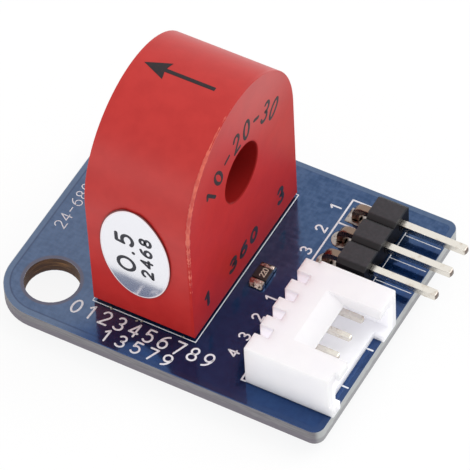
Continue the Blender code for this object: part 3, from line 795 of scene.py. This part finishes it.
DIGITS: dict[str, list[list[Point | Arc]]] = {
    "0": [[Arc(0.31, 0.5, 0.28, 0.48, 90, 450)]],
    "1": [[(0.12, 0.78), (0.36, 0.98), (0.36, 0.02)]],
    "2": [[Arc(0.31, 0.71, 0.27, 0.27, 165, -30), (0.04, 0.02), (0.60, 0.02)]],
    "3": [[Arc(0.29, 0.74, 0.25, 0.24, 150, -90)], [Arc(0.29, 0.26, 0.30, 0.24, 90, -150)]],
    "4": [[(0.46, 0.02), (0.46, 0.98), (0.02, 0.30), (0.62, 0.30)]],
    "5": [[(0.55, 0.98), (0.13, 0.98), (0.08, 0.56), Arc(0.29, 0.33, 0.30, 0.31, 130, -140)]],
    "6": [[Arc(0.60, 0.33, 0.57, 0.65, 100, 180)], [Arc(0.31, 0.31, 0.28, 0.29, 180, 540)]],
    "7": [[(0.04, 0.98), (0.60, 0.98), (0.24, 0.02)]],
    "8": [[Arc(0.31, 0.75, 0.23, 0.23, -90, 270)], [Arc(0.31, 0.27, 0.29, 0.25, 90, 450)]],
    "9": [[Arc(0.02, 0.67, 0.57, 0.65, -80, 0)], [Arc(0.31, 0.69, 0.28, 0.29, 0, 360)]],
    "-": [[(0.08, 0.5), (0.54, 0.5)]],
    ".": [[(0.12, 0.02), (0.13, 0.02)]],
}
SHARP_CORNER = math.radians(50.0)


def strokes_of(sign: str) -> list[list[Point]]:
    """The strokes of one digit, broken at its sharp corners."""
    strokes: list[list[Point]] = []
    for parts in DIGITS[sign]:
        line: list[Point] = []
        for part in parts:
            line += part.points() if isinstance(part, Arc) else [part]
        piece = [line[0], line[1]]
        for ahead in line[2:]:
            before = Vector(piece[-1]) - Vector(piece[-2])
            after = Vector(ahead) - Vector(piece[-1])
            if before.angle(after, 0.0) > SHARP_CORNER:
                strokes.append(piece)
                piece = [piece[-1]]
            piece.append(ahead)
        strokes.append(piece)
    return strokes


@dataclass(frozen=True)
class Pen:
    """A round pen that draws flat strokes of ink with round ends. Lengths are metres."""

    width: float
    thickness: float

    def draw(self, strokes: Strokes, plane: Matrix) -> BMesh:
        """Draw strokes on a plane.

        Args:
            strokes: lines of points on the plane, in metres.
            plane: the plane's place in the module's frame, its normal along its own Z.

        Returns:
            The ink as a mesh.
        """
        mesh = tubes([self.rounded(stroke) for stroke in strokes], self.width / 2, 1)
        bmesh.ops.scale(mesh, vec=(1.0, 1.0, 2 * self.thickness / self.width), verts=mesh.verts)
        bmesh.ops.transform(mesh, matrix=plane, verts=mesh.verts)
        bmesh.ops.recalc_face_normals(mesh, faces=mesh.faces)
        return mesh

    def rounded(self, stroke: Sequence[Point]) -> list[tuple[Vector, float]]:
        """A stroke's places with their share of the width, which closes in a half circle at both ends."""
        line = [Vector((x, y, 0.0)) for x, y in stroke]
        head = (line[0] - line[1]).normalized() * self.width / 2
        tail = (line[-1] - line[-2]).normalized() * self.width / 2
        cap = [(math.sin(angle), math.cos(angle)) for angle in map(math.radians, (30.0, 60.0, 85.0))]
        return [*((line[0] + head * out, share) for out, share in reversed(cap)),
                *((place, 1.0) for place in line),
                *((line[-1] + tail * out, share) for out, share in cap)]


@dataclass(frozen=True)
class Digits:
    """Digits on a plane, placed by each kind. Lengths are millimetres, angles degrees."""

    text: str

    def spot(self, place: int, across: float, up: float) -> Vector:
        """Where on the plane a point lies in the cell of the digit at this place in the text."""
        raise NotImplementedError

    def strokes(self) -> list[list[Point]]:
        """The strokes on the plane, in metres."""
        strokes = []
        for place, sign in enumerate(self.text):
            for stroke in strokes_of(sign):
                spots = [self.spot(place, across, up) for across, up in stroke]
                strokes.append([(spot.x * MM, spot.y * MM) for spot in spots])
        return strokes


@dataclass(frozen=True)
class Row(Digits):
    """A straight row of digits."""

    x: float
    y: float
    height: float
    pitch: float
    heading: float = 0.0
    slant: float = 0.0
    narrow: float = 1.0

    def spot(self, place: int, across: float, up: float) -> Vector:
        """As in Digits."""
        turn = Matrix.Rotation(math.radians(self.heading), 2)
        along = place * self.pitch + self.height * (across * self.narrow + up * self.slant)
        return turn @ Vector((along, up * self.height)) + Vector((self.x, self.y))


@dataclass(frozen=True)
class ArcRow(Digits):
    """A row of digits round a centre, upright away from it."""

    centre: Point
    foot_radius: float
    height: float
    start: float
    end: float
    slant: float
    narrow: float

    def spot(self, place: int, across: float, up: float) -> Vector:
        """As in Digits."""
        step = (self.end - self.start) / (len(self.text) - 1)
        angle = math.radians(self.start + place * step)
        outward = Vector((math.cos(angle), math.sin(angle)))
        along = Vector((outward.y, -outward.x))
        side = self.height * ((across - CELL_WIDTH / 2) * self.narrow + (up - 0.5) * self.slant)
        return Vector(self.centre) + outward * self.foot_radius + along * side + outward * up * self.height


def strokes_in(rows: Sequence[Row]) -> list[list[Point]]:
    """The strokes of several rows."""
    return [stroke for row in rows for stroke in row.strokes()]


def plane_at(origin: Vector, right: Sequence[float], up: Sequence[float]) -> Matrix:
    """A plane through origin with its own X and Y along right and up."""
    right, up = Vector(right), Vector(up)
    axes = Matrix((right, up, right.cross(up))).transposed().to_4x4()
    return Matrix.Translation(origin) @ axes


def mm_line(*points: Point) -> list[Point]:
    """A line's points in metres from millimetres."""
    return [(x * MM, y * MM) for x, y in points]


def mm_lines(ends: Sequence[tuple[float, ...]]) -> list[list[Point]]:
    """Straight lines in metres from (x, y, x, y) ends in millimetres."""
    return [mm_line(end[:2], end[2:]) for end in ends]


def merged(*meshes: BMesh) -> BMesh:
    """Gather several meshes in one and free them."""
    whole = bmesh.new()
    for mesh in meshes:
        data = bpy.data.meshes.new("gathered")
        mesh.to_mesh(data)
        mesh.free()
        whole.from_mesh(data)
        bpy.data.meshes.remove(data)
    return whole


def printed(name: str, slot: Slot, ink: Material, plane: Matrix, thickness: float,
            *drawings: tuple[float, Strokes]) -> None:
    """Print drawings on a plane as one piece.

    Args:
        name: the piece's name.
        slot: not used.
        ink: its finish.
        plane: the plane.
        thickness: how far the ink stands above and below the plane, in millimetres.
        drawings: pairs of a line width in millimetres and strokes in metres.
    """
    drawn = [Pen(width * MM, thickness * MM).draw(strokes, plane) for width, strokes in drawings]
    finished(merged(*drawn), name, ink)


# Sub-assemblies


@dataclass
class CircuitBoard:
    """The board with its mask, its tinned pads and its white print. Lengths are millimetres."""

    hole_place: Point = (-11.05, 7.95)
    hole_radius: float = 2.25
    plain_corner: float = 0.9
    line_width: float = 0.15
    case_line_width: float = 0.085
    faint_width: float = 0.08
    word_width: float = 0.17
    print_thickness: float = 0.012
    case_line_gap: float = 0.07
    square_pad: str = "header_3"
    square_share: float = 0.86
    burrs: tuple[Point, ...] = ((-5.66, -8.2), (-5.45, -8.3), (-2.72, -8.33), (-3.1, -8.45), (0.9, -8.2))
    marks: tuple[tuple[float, ...], ...] = (
        (7.0, -9.76, 7.0, -9.05), (7.0, -9.76, 7.35, -9.76),
        (14.23, -2.64, 14.7, -2.64), (14.23, -6.73, 14.7, -6.73),
        (6.2, 1.0, 6.2, 10.15), (6.2, 10.15, 7.8, 10.15), (6.2, 7.56, 7.7, 7.56))
    faint_marks: tuple[tuple[float, ...], ...] = (
        (11.5, 9.2, 11.5, 7.6), (11.5, 6.7, 11.5, 5.1), (11.5, 4.1, 11.5, 2.6),
        (11.6, 8.8, 14.7, 8.8), (11.6, 6.25, 14.7, 6.25), (11.6, 3.77, 14.7, 3.77))

    def build(self) -> None:
        """Make the board, its pads and its print."""
        low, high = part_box("circuit_board")
        self.top = high.z
        finish = SolderMask(
            "board_mask", (high.x - low.x) / 2 / MM, (high.y - low.y) / 2 / MM, (high.z - low.z) / MM,
            self.hole_place, self.hole_radius, high.x / MM + self.hole_place[0], self.plain_corner)
        redressed("circuit_board", "board_panel", finish.material(), smooth_below=30.0,
                  weighted=False)
        self.build_print()
        tin = Metal("pad_tin", (0.40, 0.36, 0.33), (0.085, 0.050, 0.035), 0.32, 0.46, 0.45, (1.0, 1.0, 1.0),
                    0.03).material()
        for leg, reach in LEGS.items():
            self.build_pad(leg, reach * MM, tin)

    def build_print(self) -> None:
        """Make the white print and the specks of dried flux on it."""
        white = Ink("print_white", (0.82, 0.83, 0.86), (0.62, 0.66, 0.74), 0.45)
        plane = plane_at(Vector((0.0, 0.0, self.top)), (1, 0, 0), (0, 1, 0))
        side = Row("24-680", -12.86, -3.0, 1.0, 0.86, 90.0)
        printed("board_print", Slot.CONNECTOR, white.material(), plane, self.print_thickness,
                (self.line_width, mm_lines(self.marks)),
                (self.case_line_width, self.case_lines()),
                (self.line_width, strokes_in(self.small_rows())),
                (self.faint_width, mm_lines(self.faint_marks)),
                (self.case_line_width, side.strokes()),
                (self.word_width, strokes_in(self.word_rows())))
        flux = Ink("dried_flux", (0.28, 0.25, 0.19), (0.13, 0.10, 0.08), 0.3)
        specks = mm_lines([(x, y, x + 0.06, y + 0.05) for x, y in self.burrs])
        printed("board_flux", Slot.SOLDER, flux.material(), plane, 0.04, (0.16, specks))

    def build_pad(self, name: str, leg: float, tin: Material) -> None:
        """Make one tinned pad round its hole; leg is how far the leg in it reaches from its axis."""
        low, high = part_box(f"solder_{name}")
        centre = Vector(((low.x + high.x) / 2, (low.y + high.y) / 2, self.top))
        rim = (high.x - low.x) / 2
        skirt, crown = -0.03 * MM, 0.025 * MM
        hole = leg + 0.07 * MM
        profile = [(hole, skirt), (rim, skirt), (rim, 0.6 * crown), (rim * 0.94, crown),
                   (rim * 0.75, 1.6 * crown), (hole + 0.14 * MM, 1.3 * crown),
                   (hole + 0.04 * MM, 0.7 * crown), (hole, 0.0)]
        mesh = turned_ring(profile, centre)
        if name == self.square_pad:
            self.square_up(mesh, centre, rim)
        finished(mesh, f"pad_{name}", tin, smooth_below=60.0)

    def square_up(self, mesh: BMesh, centre: Vector, rim: float) -> None:
        """Push a pad's outer ring of points out to a square."""
        for vert in mesh.verts:
            out = (vert.co - centre).to_2d()
            if out.length > rim * 0.9:
                side = out * (self.square_share * out.length / max(abs(out.x), abs(out.y)))
                vert.co.xy = centre.to_2d() + side

    def small_rows(self) -> list[Row]:
        """The digits beside the connector's and the header's pins."""
        rows = [Row(str(way), 5.62, y, 0.92, 1.0, 90.0)
                for way, y in zip((4, 3, 2, 1), (-8.05, -6.2, -4.1, -1.95))]
        rows += [Row(str(way), 5.76, y, 0.92, 1.0, 90.0) for way, y in zip((3, 2, 1), (3.6, 6.1, 8.6))]
        return rows

    def word_rows(self) -> list[Row]:
        """The two rows of larger digits along the front."""
        return [Row("0123456789", -8.4, -9.97, 1.3, 1.31, 0.0, 0.05, 0.95),
                Row("13579", -4.85, -11.34, 1.12, 1.35, 0.0, 0.05, 1.05)]

    def case_lines(self) -> list[list[Point]]:
        """The printed outline of the transformer."""
        low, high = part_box("transformer_case")
        left, front = low.x / MM - self.case_line_gap, low.y / MM - self.case_line_gap
        right, back = high.x / MM + self.case_line_gap, high.y / MM + self.case_line_gap
        return mm_lines([(left, front, right, front), (right, front, right, back), (right, back, left, back),
                         (left, back, left, front)])


@dataclass
class Transformer:
    """The transformer: case, flash, prints, label and what the case holds. Lengths are millimetres."""

    bore_height: float = 13.05
    print_thickness: float = 0.012
    flash_radius: float = 0.13
    flash_inset: float = 0.10
    flash_steps: tuple[int, int] = (70, 80)
    flash_turn: float = 100.0
    foot_share: float = 0.45
    share_gain: float = 0.65
    arch_share: float = 1.2
    arrow_angle: float = -1.5
    bore_radius: float = 2.55

    def build(self) -> None:
        """Make every piece of the transformer."""
        low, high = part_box("transformer_case")
        self.face_x = high.x
        self.middle_x = (low.x + high.x) / 2
        self.centre = Vector((self.middle_x, (low.y + high.y) / 2, self.bore_height * MM))
        self.radius = (high.y - low.y) / 2
        self.foot = low.z
        red = BoredMoulding("case_plastic", (0.485, 0.022, 0.019), (0.525, 0.027, 0.023), 0.44, 0.06,
                            0.10, 0.005, 1.6, 0.014, 0.02, 0.07,
                            bore=(self.centre.y / MM, self.bore_height), bore_radius=self.bore_radius,
                            bored_face=self.face_x / MM)
        redressed("transformer_case", "case_shell", red.material(), smooth_below=35.0)
        self.build_flash()
        self.build_prints()
        self.build_label()
        dress("ring_core", Moulding("core_coat", (0.05, 0.05, 0.055), (0.07, 0.07, 0.075), 0.5).material())
        wire = Metal("enamelled_wire", (0.55, 0.20, 0.07), (0.35, 0.12, 0.04), 0.3)
        dress("secondary_winding", wire.material())
        resin = Moulding("potting_resin", (0.02, 0.015, 0.014), (0.03, 0.022, 0.02), 0.2)
        dress("potting_fill", resin.material())

    def build_flash(self) -> None:
        """Make the uneven bead of flash along the edge between the near side and the bore's face, coloured
        paler than the case as a painted highlight.
        """
        wobble = random.Random(5)
        reach = self.radius - self.flash_inset * MM
        edge = self.face_x - self.flash_inset * MM
        upright, bowed = self.flash_steps
        points = []
        for step in range(upright):
            z = self.foot + (self.centre.z - self.foot) * step / upright
            share = min(1.0, self.foot_share + self.share_gain * step / upright)
            points.append((Vector((edge, self.centre.y - reach, z)), self.bead(wobble) * share))
        for step in range(bowed):
            angle = math.radians(self.flash_turn) * step / bowed
            place = Vector((edge, self.centre.y - reach * math.cos(angle),
                            self.centre.z + reach * math.sin(angle)))
            points.append((place, self.bead(wobble) * self.arch_share * (1.0 - (step / bowed) ** 4) + 0.05))
        mesh = tubes([points], self.flash_radius * MM, 2)
        bmesh.ops.recalc_face_normals(mesh, faces=mesh.faces)
        # The bead is real flash; its colour, paler than the case, is a painted highlight along the edge.
        flash = Moulding("flash_painted_highlight", (0.74, 0.150, 0.095), (0.56, 0.060, 0.045), 0.4, wave=0.7,
                         translucency=0.1)
        finished(mesh, "case_flash", flash.material(), smooth_below=60.0)

    @staticmethod
    def bead(wobble: random.Random) -> float:
        """The share of the full flash radius at one point: mostly thin, here and there a full bead."""
        return 0.78 + 0.26 * wobble.random() if wobble.random() < 0.75 else 1.2

    def build_prints(self) -> None:
        """Make the black digits on the bore's face and the arrow on the arch."""
        black = Ink("print_black", (0.020, 0.015, 0.018), (0.055, 0.020, 0.022), 0.5, 0.25).material()
        face = plane_at(Vector((self.face_x, 0.0, 0.0)), (0, 1, 0), (0, 0, 1))
        rows = [
            Row("1", -6.30, 3.58, 1.38, 1.3),
            Row("3", 5.54, 3.49, 1.61, 1.3, 0.0, 0.0, 0.79),
            Row("360", -2.35, 3.48, 1.22, 1.67, 0.0, 0.1, 1.3),
        ]
        arc = ArcRow("10-20-30", (0.6, 9.6), 6.5, 1.8, 133.0, 48.6, 0.05, 0.8)
        printed("case_print", Slot.HEADER, black, face, self.print_thickness,
                (0.43, strokes_in(rows)), (0.32, arc.strokes()))
        self.build_arrow(black)

    def build_arrow(self, black: Material) -> None:
        """Make the arrow, drawn flat and then laid round the arch."""
        tip, barb, notch, tail = -3.67, -1.62, -1.80, 2.50
        half_head, half_shaft = 0.90, 0.18
        outline = mm_line(
            (tip, 0.0), (barb, -half_head), (notch, -half_shaft), (tail, -half_shaft), (tail, half_shaft),
            (notch, half_shaft), (barb, half_head))
        slices = [level * 0.1 * MM for level in range(-8, 9)]
        mesh = patch_of_ink(outline, self.print_thickness * MM, slices, self.on_arch)
        finished(mesh, "case_arrow", black)

    def on_arch(self, flat: Vector) -> Vector:
        """Lay a point of a flat drawing on the arch: X stays along the bore, Y runs round the arch."""
        angle = math.radians(self.arrow_angle) + flat.y / self.radius
        reach = self.radius + flat.z
        return Vector((self.middle_x + flat.x, self.centre.y - reach * math.sin(angle),
                       self.centre.z + reach * math.cos(angle)))

    def build_label(self) -> None:
        """Make the label's bright film and its digits."""
        low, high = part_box("oval_label")
        middle = (low + high) / 2
        film = Film("label_mirror", (middle.x / MM, middle.z / MM), (high.x - low.x) / 2 / MM,
                    (high.z - low.z) / 2 / MM)
        redressed("oval_label", "label_sheet", film.material(), smooth_below=30.0, weighted=False)
        black = Ink("label_ink", (0.03, 0.03, 0.04), (0.07, 0.07, 0.085), 0.5, 0.3).material()
        face = plane_at(Vector((middle.x, low.y, middle.z)), (1, 0, 0), (0, 0, 1))
        large = [Row("0", -0.09, -2.24, 1.5, 1.0, 90.0, 0.0, 1.75), Row(".", -0.09, 0.0, 1.5, 1.0, 90.0),
                 Row("5", -0.09, 0.88, 1.5, 1.0, 90.0, 0.0, 1.3)]
        small = Row("2468", 1.51, -2.17, 0.96, 1.27, 90.0, 0.0, 1.3)
        printed("label_print", Slot.HEADER, black, face, self.print_thickness,
                (0.33, strokes_in(large)), (0.27, small.strokes()))


@dataclass
class PinHeader:
    """The three-way header: its black block and its bent pins."""

    ways: int = 3
    edge: float = 0.05 * MM

    def build(self, tin: Material) -> None:
        """Make the block and the pins."""
        black = ScuffedMoulding("header_plastic", (0.007, 0.007, 0.008), (0.011, 0.010, 0.012), 0.50, 0.16,
                                0.08, 0.006, specular=0.04, top=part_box("header_housing")[1].z / MM)
        redressed("header_housing", "header_block", black.material(), self.edge, 25.0)
        bent_pins("header", self.ways, tin)


@dataclass
class SideConnector:
    """The four-way side-entry connector: its white shell and its bent pins."""

    ways: int = 4
    edge: float = 0.06 * MM
    window_back: float = 12.25 * MM
    window_far: float = -2.495 * MM
    roof: float = 0.8 * MM
    ramp: float = 1.85 * MM
    far_slope: float = 0.55 * MM
    back_shift: float = 0.23 * MM
    far_shift: float = 0.30 * MM
    lip: float = 0.14 * MM

    def build(self, tin: Material) -> None:
        """Make the shell and the pins."""
        sides = tuple(corner.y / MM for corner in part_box("connector_housing"))
        white = HollowMoulding("connector_plastic", (0.885, 0.878, 0.918), (0.905, 0.898, 0.935), 0.38, 0.06,
                               0.10, 0.003, 2.0, 0.012, 0.9, 0.12, 1.5, sides=sides)
        shell = node_copy("connector_housing")
        self.slope_roof(shell)
        soften(shell, self.edge, 50.0)
        finished(shell, "connector_shell", white.material(), ["connector_housing"],
                 50.0, True)
        bent_pins("connector", self.ways, tin)

    def slope_roof(self, shell: BMesh) -> None:
        """Slope the roof down to the back and the far side of its window, above a thin upright lip."""
        top = max(vert.co.z for vert in shell.verts)
        level = top - self.roof + self.lip
        near = 0.02 * MM
        walls = [face for face in shell.faces
                 if all(abs(vert.co.x - self.window_back) < near for vert in face.verts)
                 or all(abs(vert.co.y - self.window_far) < near for vert in face.verts)]
        around = {item for face in walls for item in (*face.verts, *face.edges)}
        bmesh.ops.bisect_plane(shell, geom=[*around, *walls], plane_co=(0.0, 0.0, level),
                               plane_no=(0.0, 0.0, 1.0))
        moved = []
        for vert in shell.verts:
            height = (vert.co.z - level) / (top - level)
            back, far = abs(vert.co.x - self.window_back) < near, abs(vert.co.y - self.window_far) < near
            if height > 0.1 and (back or far):
                vert.co.x -= back * height * self.ramp
                vert.co.y += far * height * self.far_slope
                moved.append(vert)
            elif vert.co.z > top - self.roof - near:
                vert.co.x -= back * self.back_shift
                vert.co.y += far * self.far_shift
        shell.normal_update()
        crease = [edge for edge in shell.edges if any(vert in moved for vert in edge.verts)
                  and edge.calc_length() > self.roof
                  and 10.0 < math.degrees(edge.calc_face_angle(0.0)) < 50.0]
        bmesh.ops.bevel(shell, geom=crease, offset=self.edge / 2, offset_type="OFFSET", segments=1,
                        profile=0.5, affect="EDGES", material=-1, clamp_overlap=True)
        LOG.info("connector roof: %d walls, %d points moved, %d creases", len(walls), len(moved), len(crease))


@dataclass
class ChipResistor:
    """The chip resistor: its ceramic body, its printed value and its soldered caps."""

    edge: float = 0.04 * MM
    cap_edge: float = 0.12 * MM

    def build(self) -> None:
        """Make the body, the digits on it and the caps."""
        black = Moulding("resistor_glaze", (0.012, 0.011, 0.012), (0.02, 0.018, 0.018), 0.3)
        redressed("resistor_body", "resistor_chip", black.material(), self.edge)
        burnt = Metal("resistor_solder", (0.55, 0.47, 0.41), (0.040, 0.026, 0.020), 0.22, 0.42, 0.35,
                      (1.0, 1.0, 1.0), 0.05).material()
        for side in ("near", "far"):
            redressed(f"resistor_cap_{side}", f"resistor_end_{side}", burnt, self.cap_edge,
                      30.0, 3, 60.0, False)
        low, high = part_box("resistor_body")
        plane = plane_at(Vector(((low.x + high.x) / 2, (low.y + high.y) / 2, high.z)), (0, 1, 0), (-1, 0, 0))
        pale = Ink("resistor_ink", (0.60, 0.52, 0.42), (0.45, 0.38, 0.32), 0.5)
        value = Row("220", -0.36, -0.32, 0.46, 0.29)
        printed("resistor_print", Slot.CONNECTOR, pale.material(), plane, 0.01, (0.065, value.strokes()))


class SolderJoints:
    """The joints under the board, one for every leg."""

    def build(self, solder: Material, tin: Material) -> None:
        """Make the joints and dress the transformer's terminals."""
        for leg in LEGS:
            redressed(f"solder_{leg}", f"joint_{leg}", solder, weighted=False)
        for number in (1, 3):
            dress(f"transformer_pin_{number}", tin)


@dataclass
class Studio:
    """The pale floor, the soft light and the camera at the photograph's place."""

    floor_reach: float = 0.6
    floor_glow: float = 0.88
    sky: float = 0.76
    key_power: float = 1.3
    key_size: float = 0.45
    key_place: tuple[float, float, float] = (0.25, 0.23, 0.46)
    fill_power: float = 0.38
    fill_size: float = 0.3
    fill_place: tuple[float, float, float] = (-0.18, -0.50, 0.12)
    camera_place: tuple[float, float, float] = (118.596, -191.306, 276.136)
    camera_tilt: float = 39.6425
    camera_turn: float = 31.5261
    camera_roll: float = -3.3679
    lens: float = 344.71
    half_pixel: float = 0.00106

    def build(self) -> None:
        """Make the floor, the world, the lamp and the camera."""
        self.build_floor()
        self.build_world()
        self.build_lamp("key", self.key_power, self.key_size, self.key_place)
        self.build_lamp("fill", self.fill_power, self.fill_size, self.fill_place)
        self.build_camera()

    def build_floor(self) -> None:
        """Make the floor just under the lowest point of the module."""
        mesh = bmesh.new()
        bmesh.ops.create_grid(mesh, x_segments=1, y_segments=1, size=self.floor_reach)
        bmesh.ops.translate(mesh, vec=(0.0, 0.0, CAD_BOX[0][2]), verts=mesh.verts)
        data = bpy.data.meshes.new("floor")
        mesh.to_mesh(data)
        mesh.free()
        floor = placed("floor", data)
        data.materials.append(self.floor_paper())

    def floor_paper(self) -> Material:
        """Make the paper: white where it is seen, with a little left to take the shadow."""
        shader = Shader("floor_paper")
        path = shader.node("ShaderNodeLightPath")
        rays = [shader.wire(path, f"Is {kind} Ray") for kind in ("Camera", "Glossy", "Transmission")]
        seen = shader.larger(shader.larger(rays[0], rays[1]), rays[2])
        return shader.finish({
            "Base Color": shader.blend(seen, (0.93, 0.93, 0.93), (1.0 - self.floor_glow,) * 3),
            "Emission Color": shader.blend(seen, (0.0, 0.0, 0.0), (self.floor_glow,) * 3),
            "Emission Strength": 1.0,
            "Roughness": 0.9,
            "Specular IOR Level": 0.0,
        })

    def build_world(self) -> None:
        """Make a pale sky that is white where the camera or a reflection sees it."""
        world = bpy.data.worlds.new("studio")
        bpy.context.scene.world = world
        world.use_nodes = True
        tree = world.node_tree
        tree.nodes.clear()
        path = add_node(tree, "ShaderNodeLightPath").outputs
        seen = add_node(tree, "ShaderNodeMath", {"operation": "MAXIMUM"},
                        {0: path["Is Camera Ray"], 1: path["Is Glossy Ray"]})
        strength = add_node(tree, "ShaderNodeMapRange",
                            inputs={"Value": seen.outputs[0], "To Min": self.sky, "To Max": 1.0})
        light = add_node(tree, "ShaderNodeBackground",
                         inputs={"Color": (1.0, 1.0, 1.0, 1.0), "Strength": strength.outputs[0]})
        add_node(tree, "ShaderNodeOutputWorld", inputs={"Surface": light.outputs[0]})

    def build_lamp(self, name: str, power: float, size: float, place: tuple[float, float, float]) -> None:
        """Make a soft round lamp that looks at the module."""
        data = bpy.data.lights.new(name, "AREA")
        data.shape = "DISK"
        data.size = size
        data.energy = power
        lamp = placed(name, data)
        lamp.location = place
        lamp.rotation_euler = (-Vector(place)).to_track_quat("-Z", "Y").to_euler()

    def build_camera(self) -> None:
        """Make the camera and use it."""
        data = bpy.data.cameras.new("camera")
        data.lens = self.lens
        data.sensor_width = 36.0
        data.sensor_fit = "HORIZONTAL"
        data.shift_x = -self.half_pixel
        data.shift_y = self.half_pixel
        data.clip_start = 0.01
        data.clip_end = 10.0
        camera = placed("camera", data)
        turn = Matrix.Rotation(math.radians(self.camera_turn), 4, "Z")
        tilt = Matrix.Rotation(math.radians(self.camera_tilt), 4, "X")
        roll = Matrix.Rotation(math.radians(self.camera_roll), 4, "Z")
        place = Matrix.Translation(Vector(self.camera_place) * MM)
        camera.matrix_world = place @ turn @ tilt @ roll
        bpy.context.scene.camera = camera
        bpy.context.scene.view_settings.view_transform = "Standard"


def main() -> None:
    """Build the studio and the module's sub-assemblies."""
    logging.basicConfig(level=logging.INFO, format="%(name)s %(message)s")
    tin = PinMetal("tinned_wire", (0.80, 0.76, 0.69), (0.55, 0.48, 0.40), 0.22).material()
    solder = Metal("solder_metal", (0.72, 0.71, 0.70), (0.45, 0.42, 0.39), 0.16, 0.55, 0.5, (1.0, 1.0, 1.0),
                   0.02).material()
    Studio().build()
    CircuitBoard().build()
    Transformer().build()
    PinHeader().build(tin)
    SideConnector().build(tin)
    ChipResistor().build()
    SolderJoints().build(solder, tin)


if __name__ == "__main__":
    main()
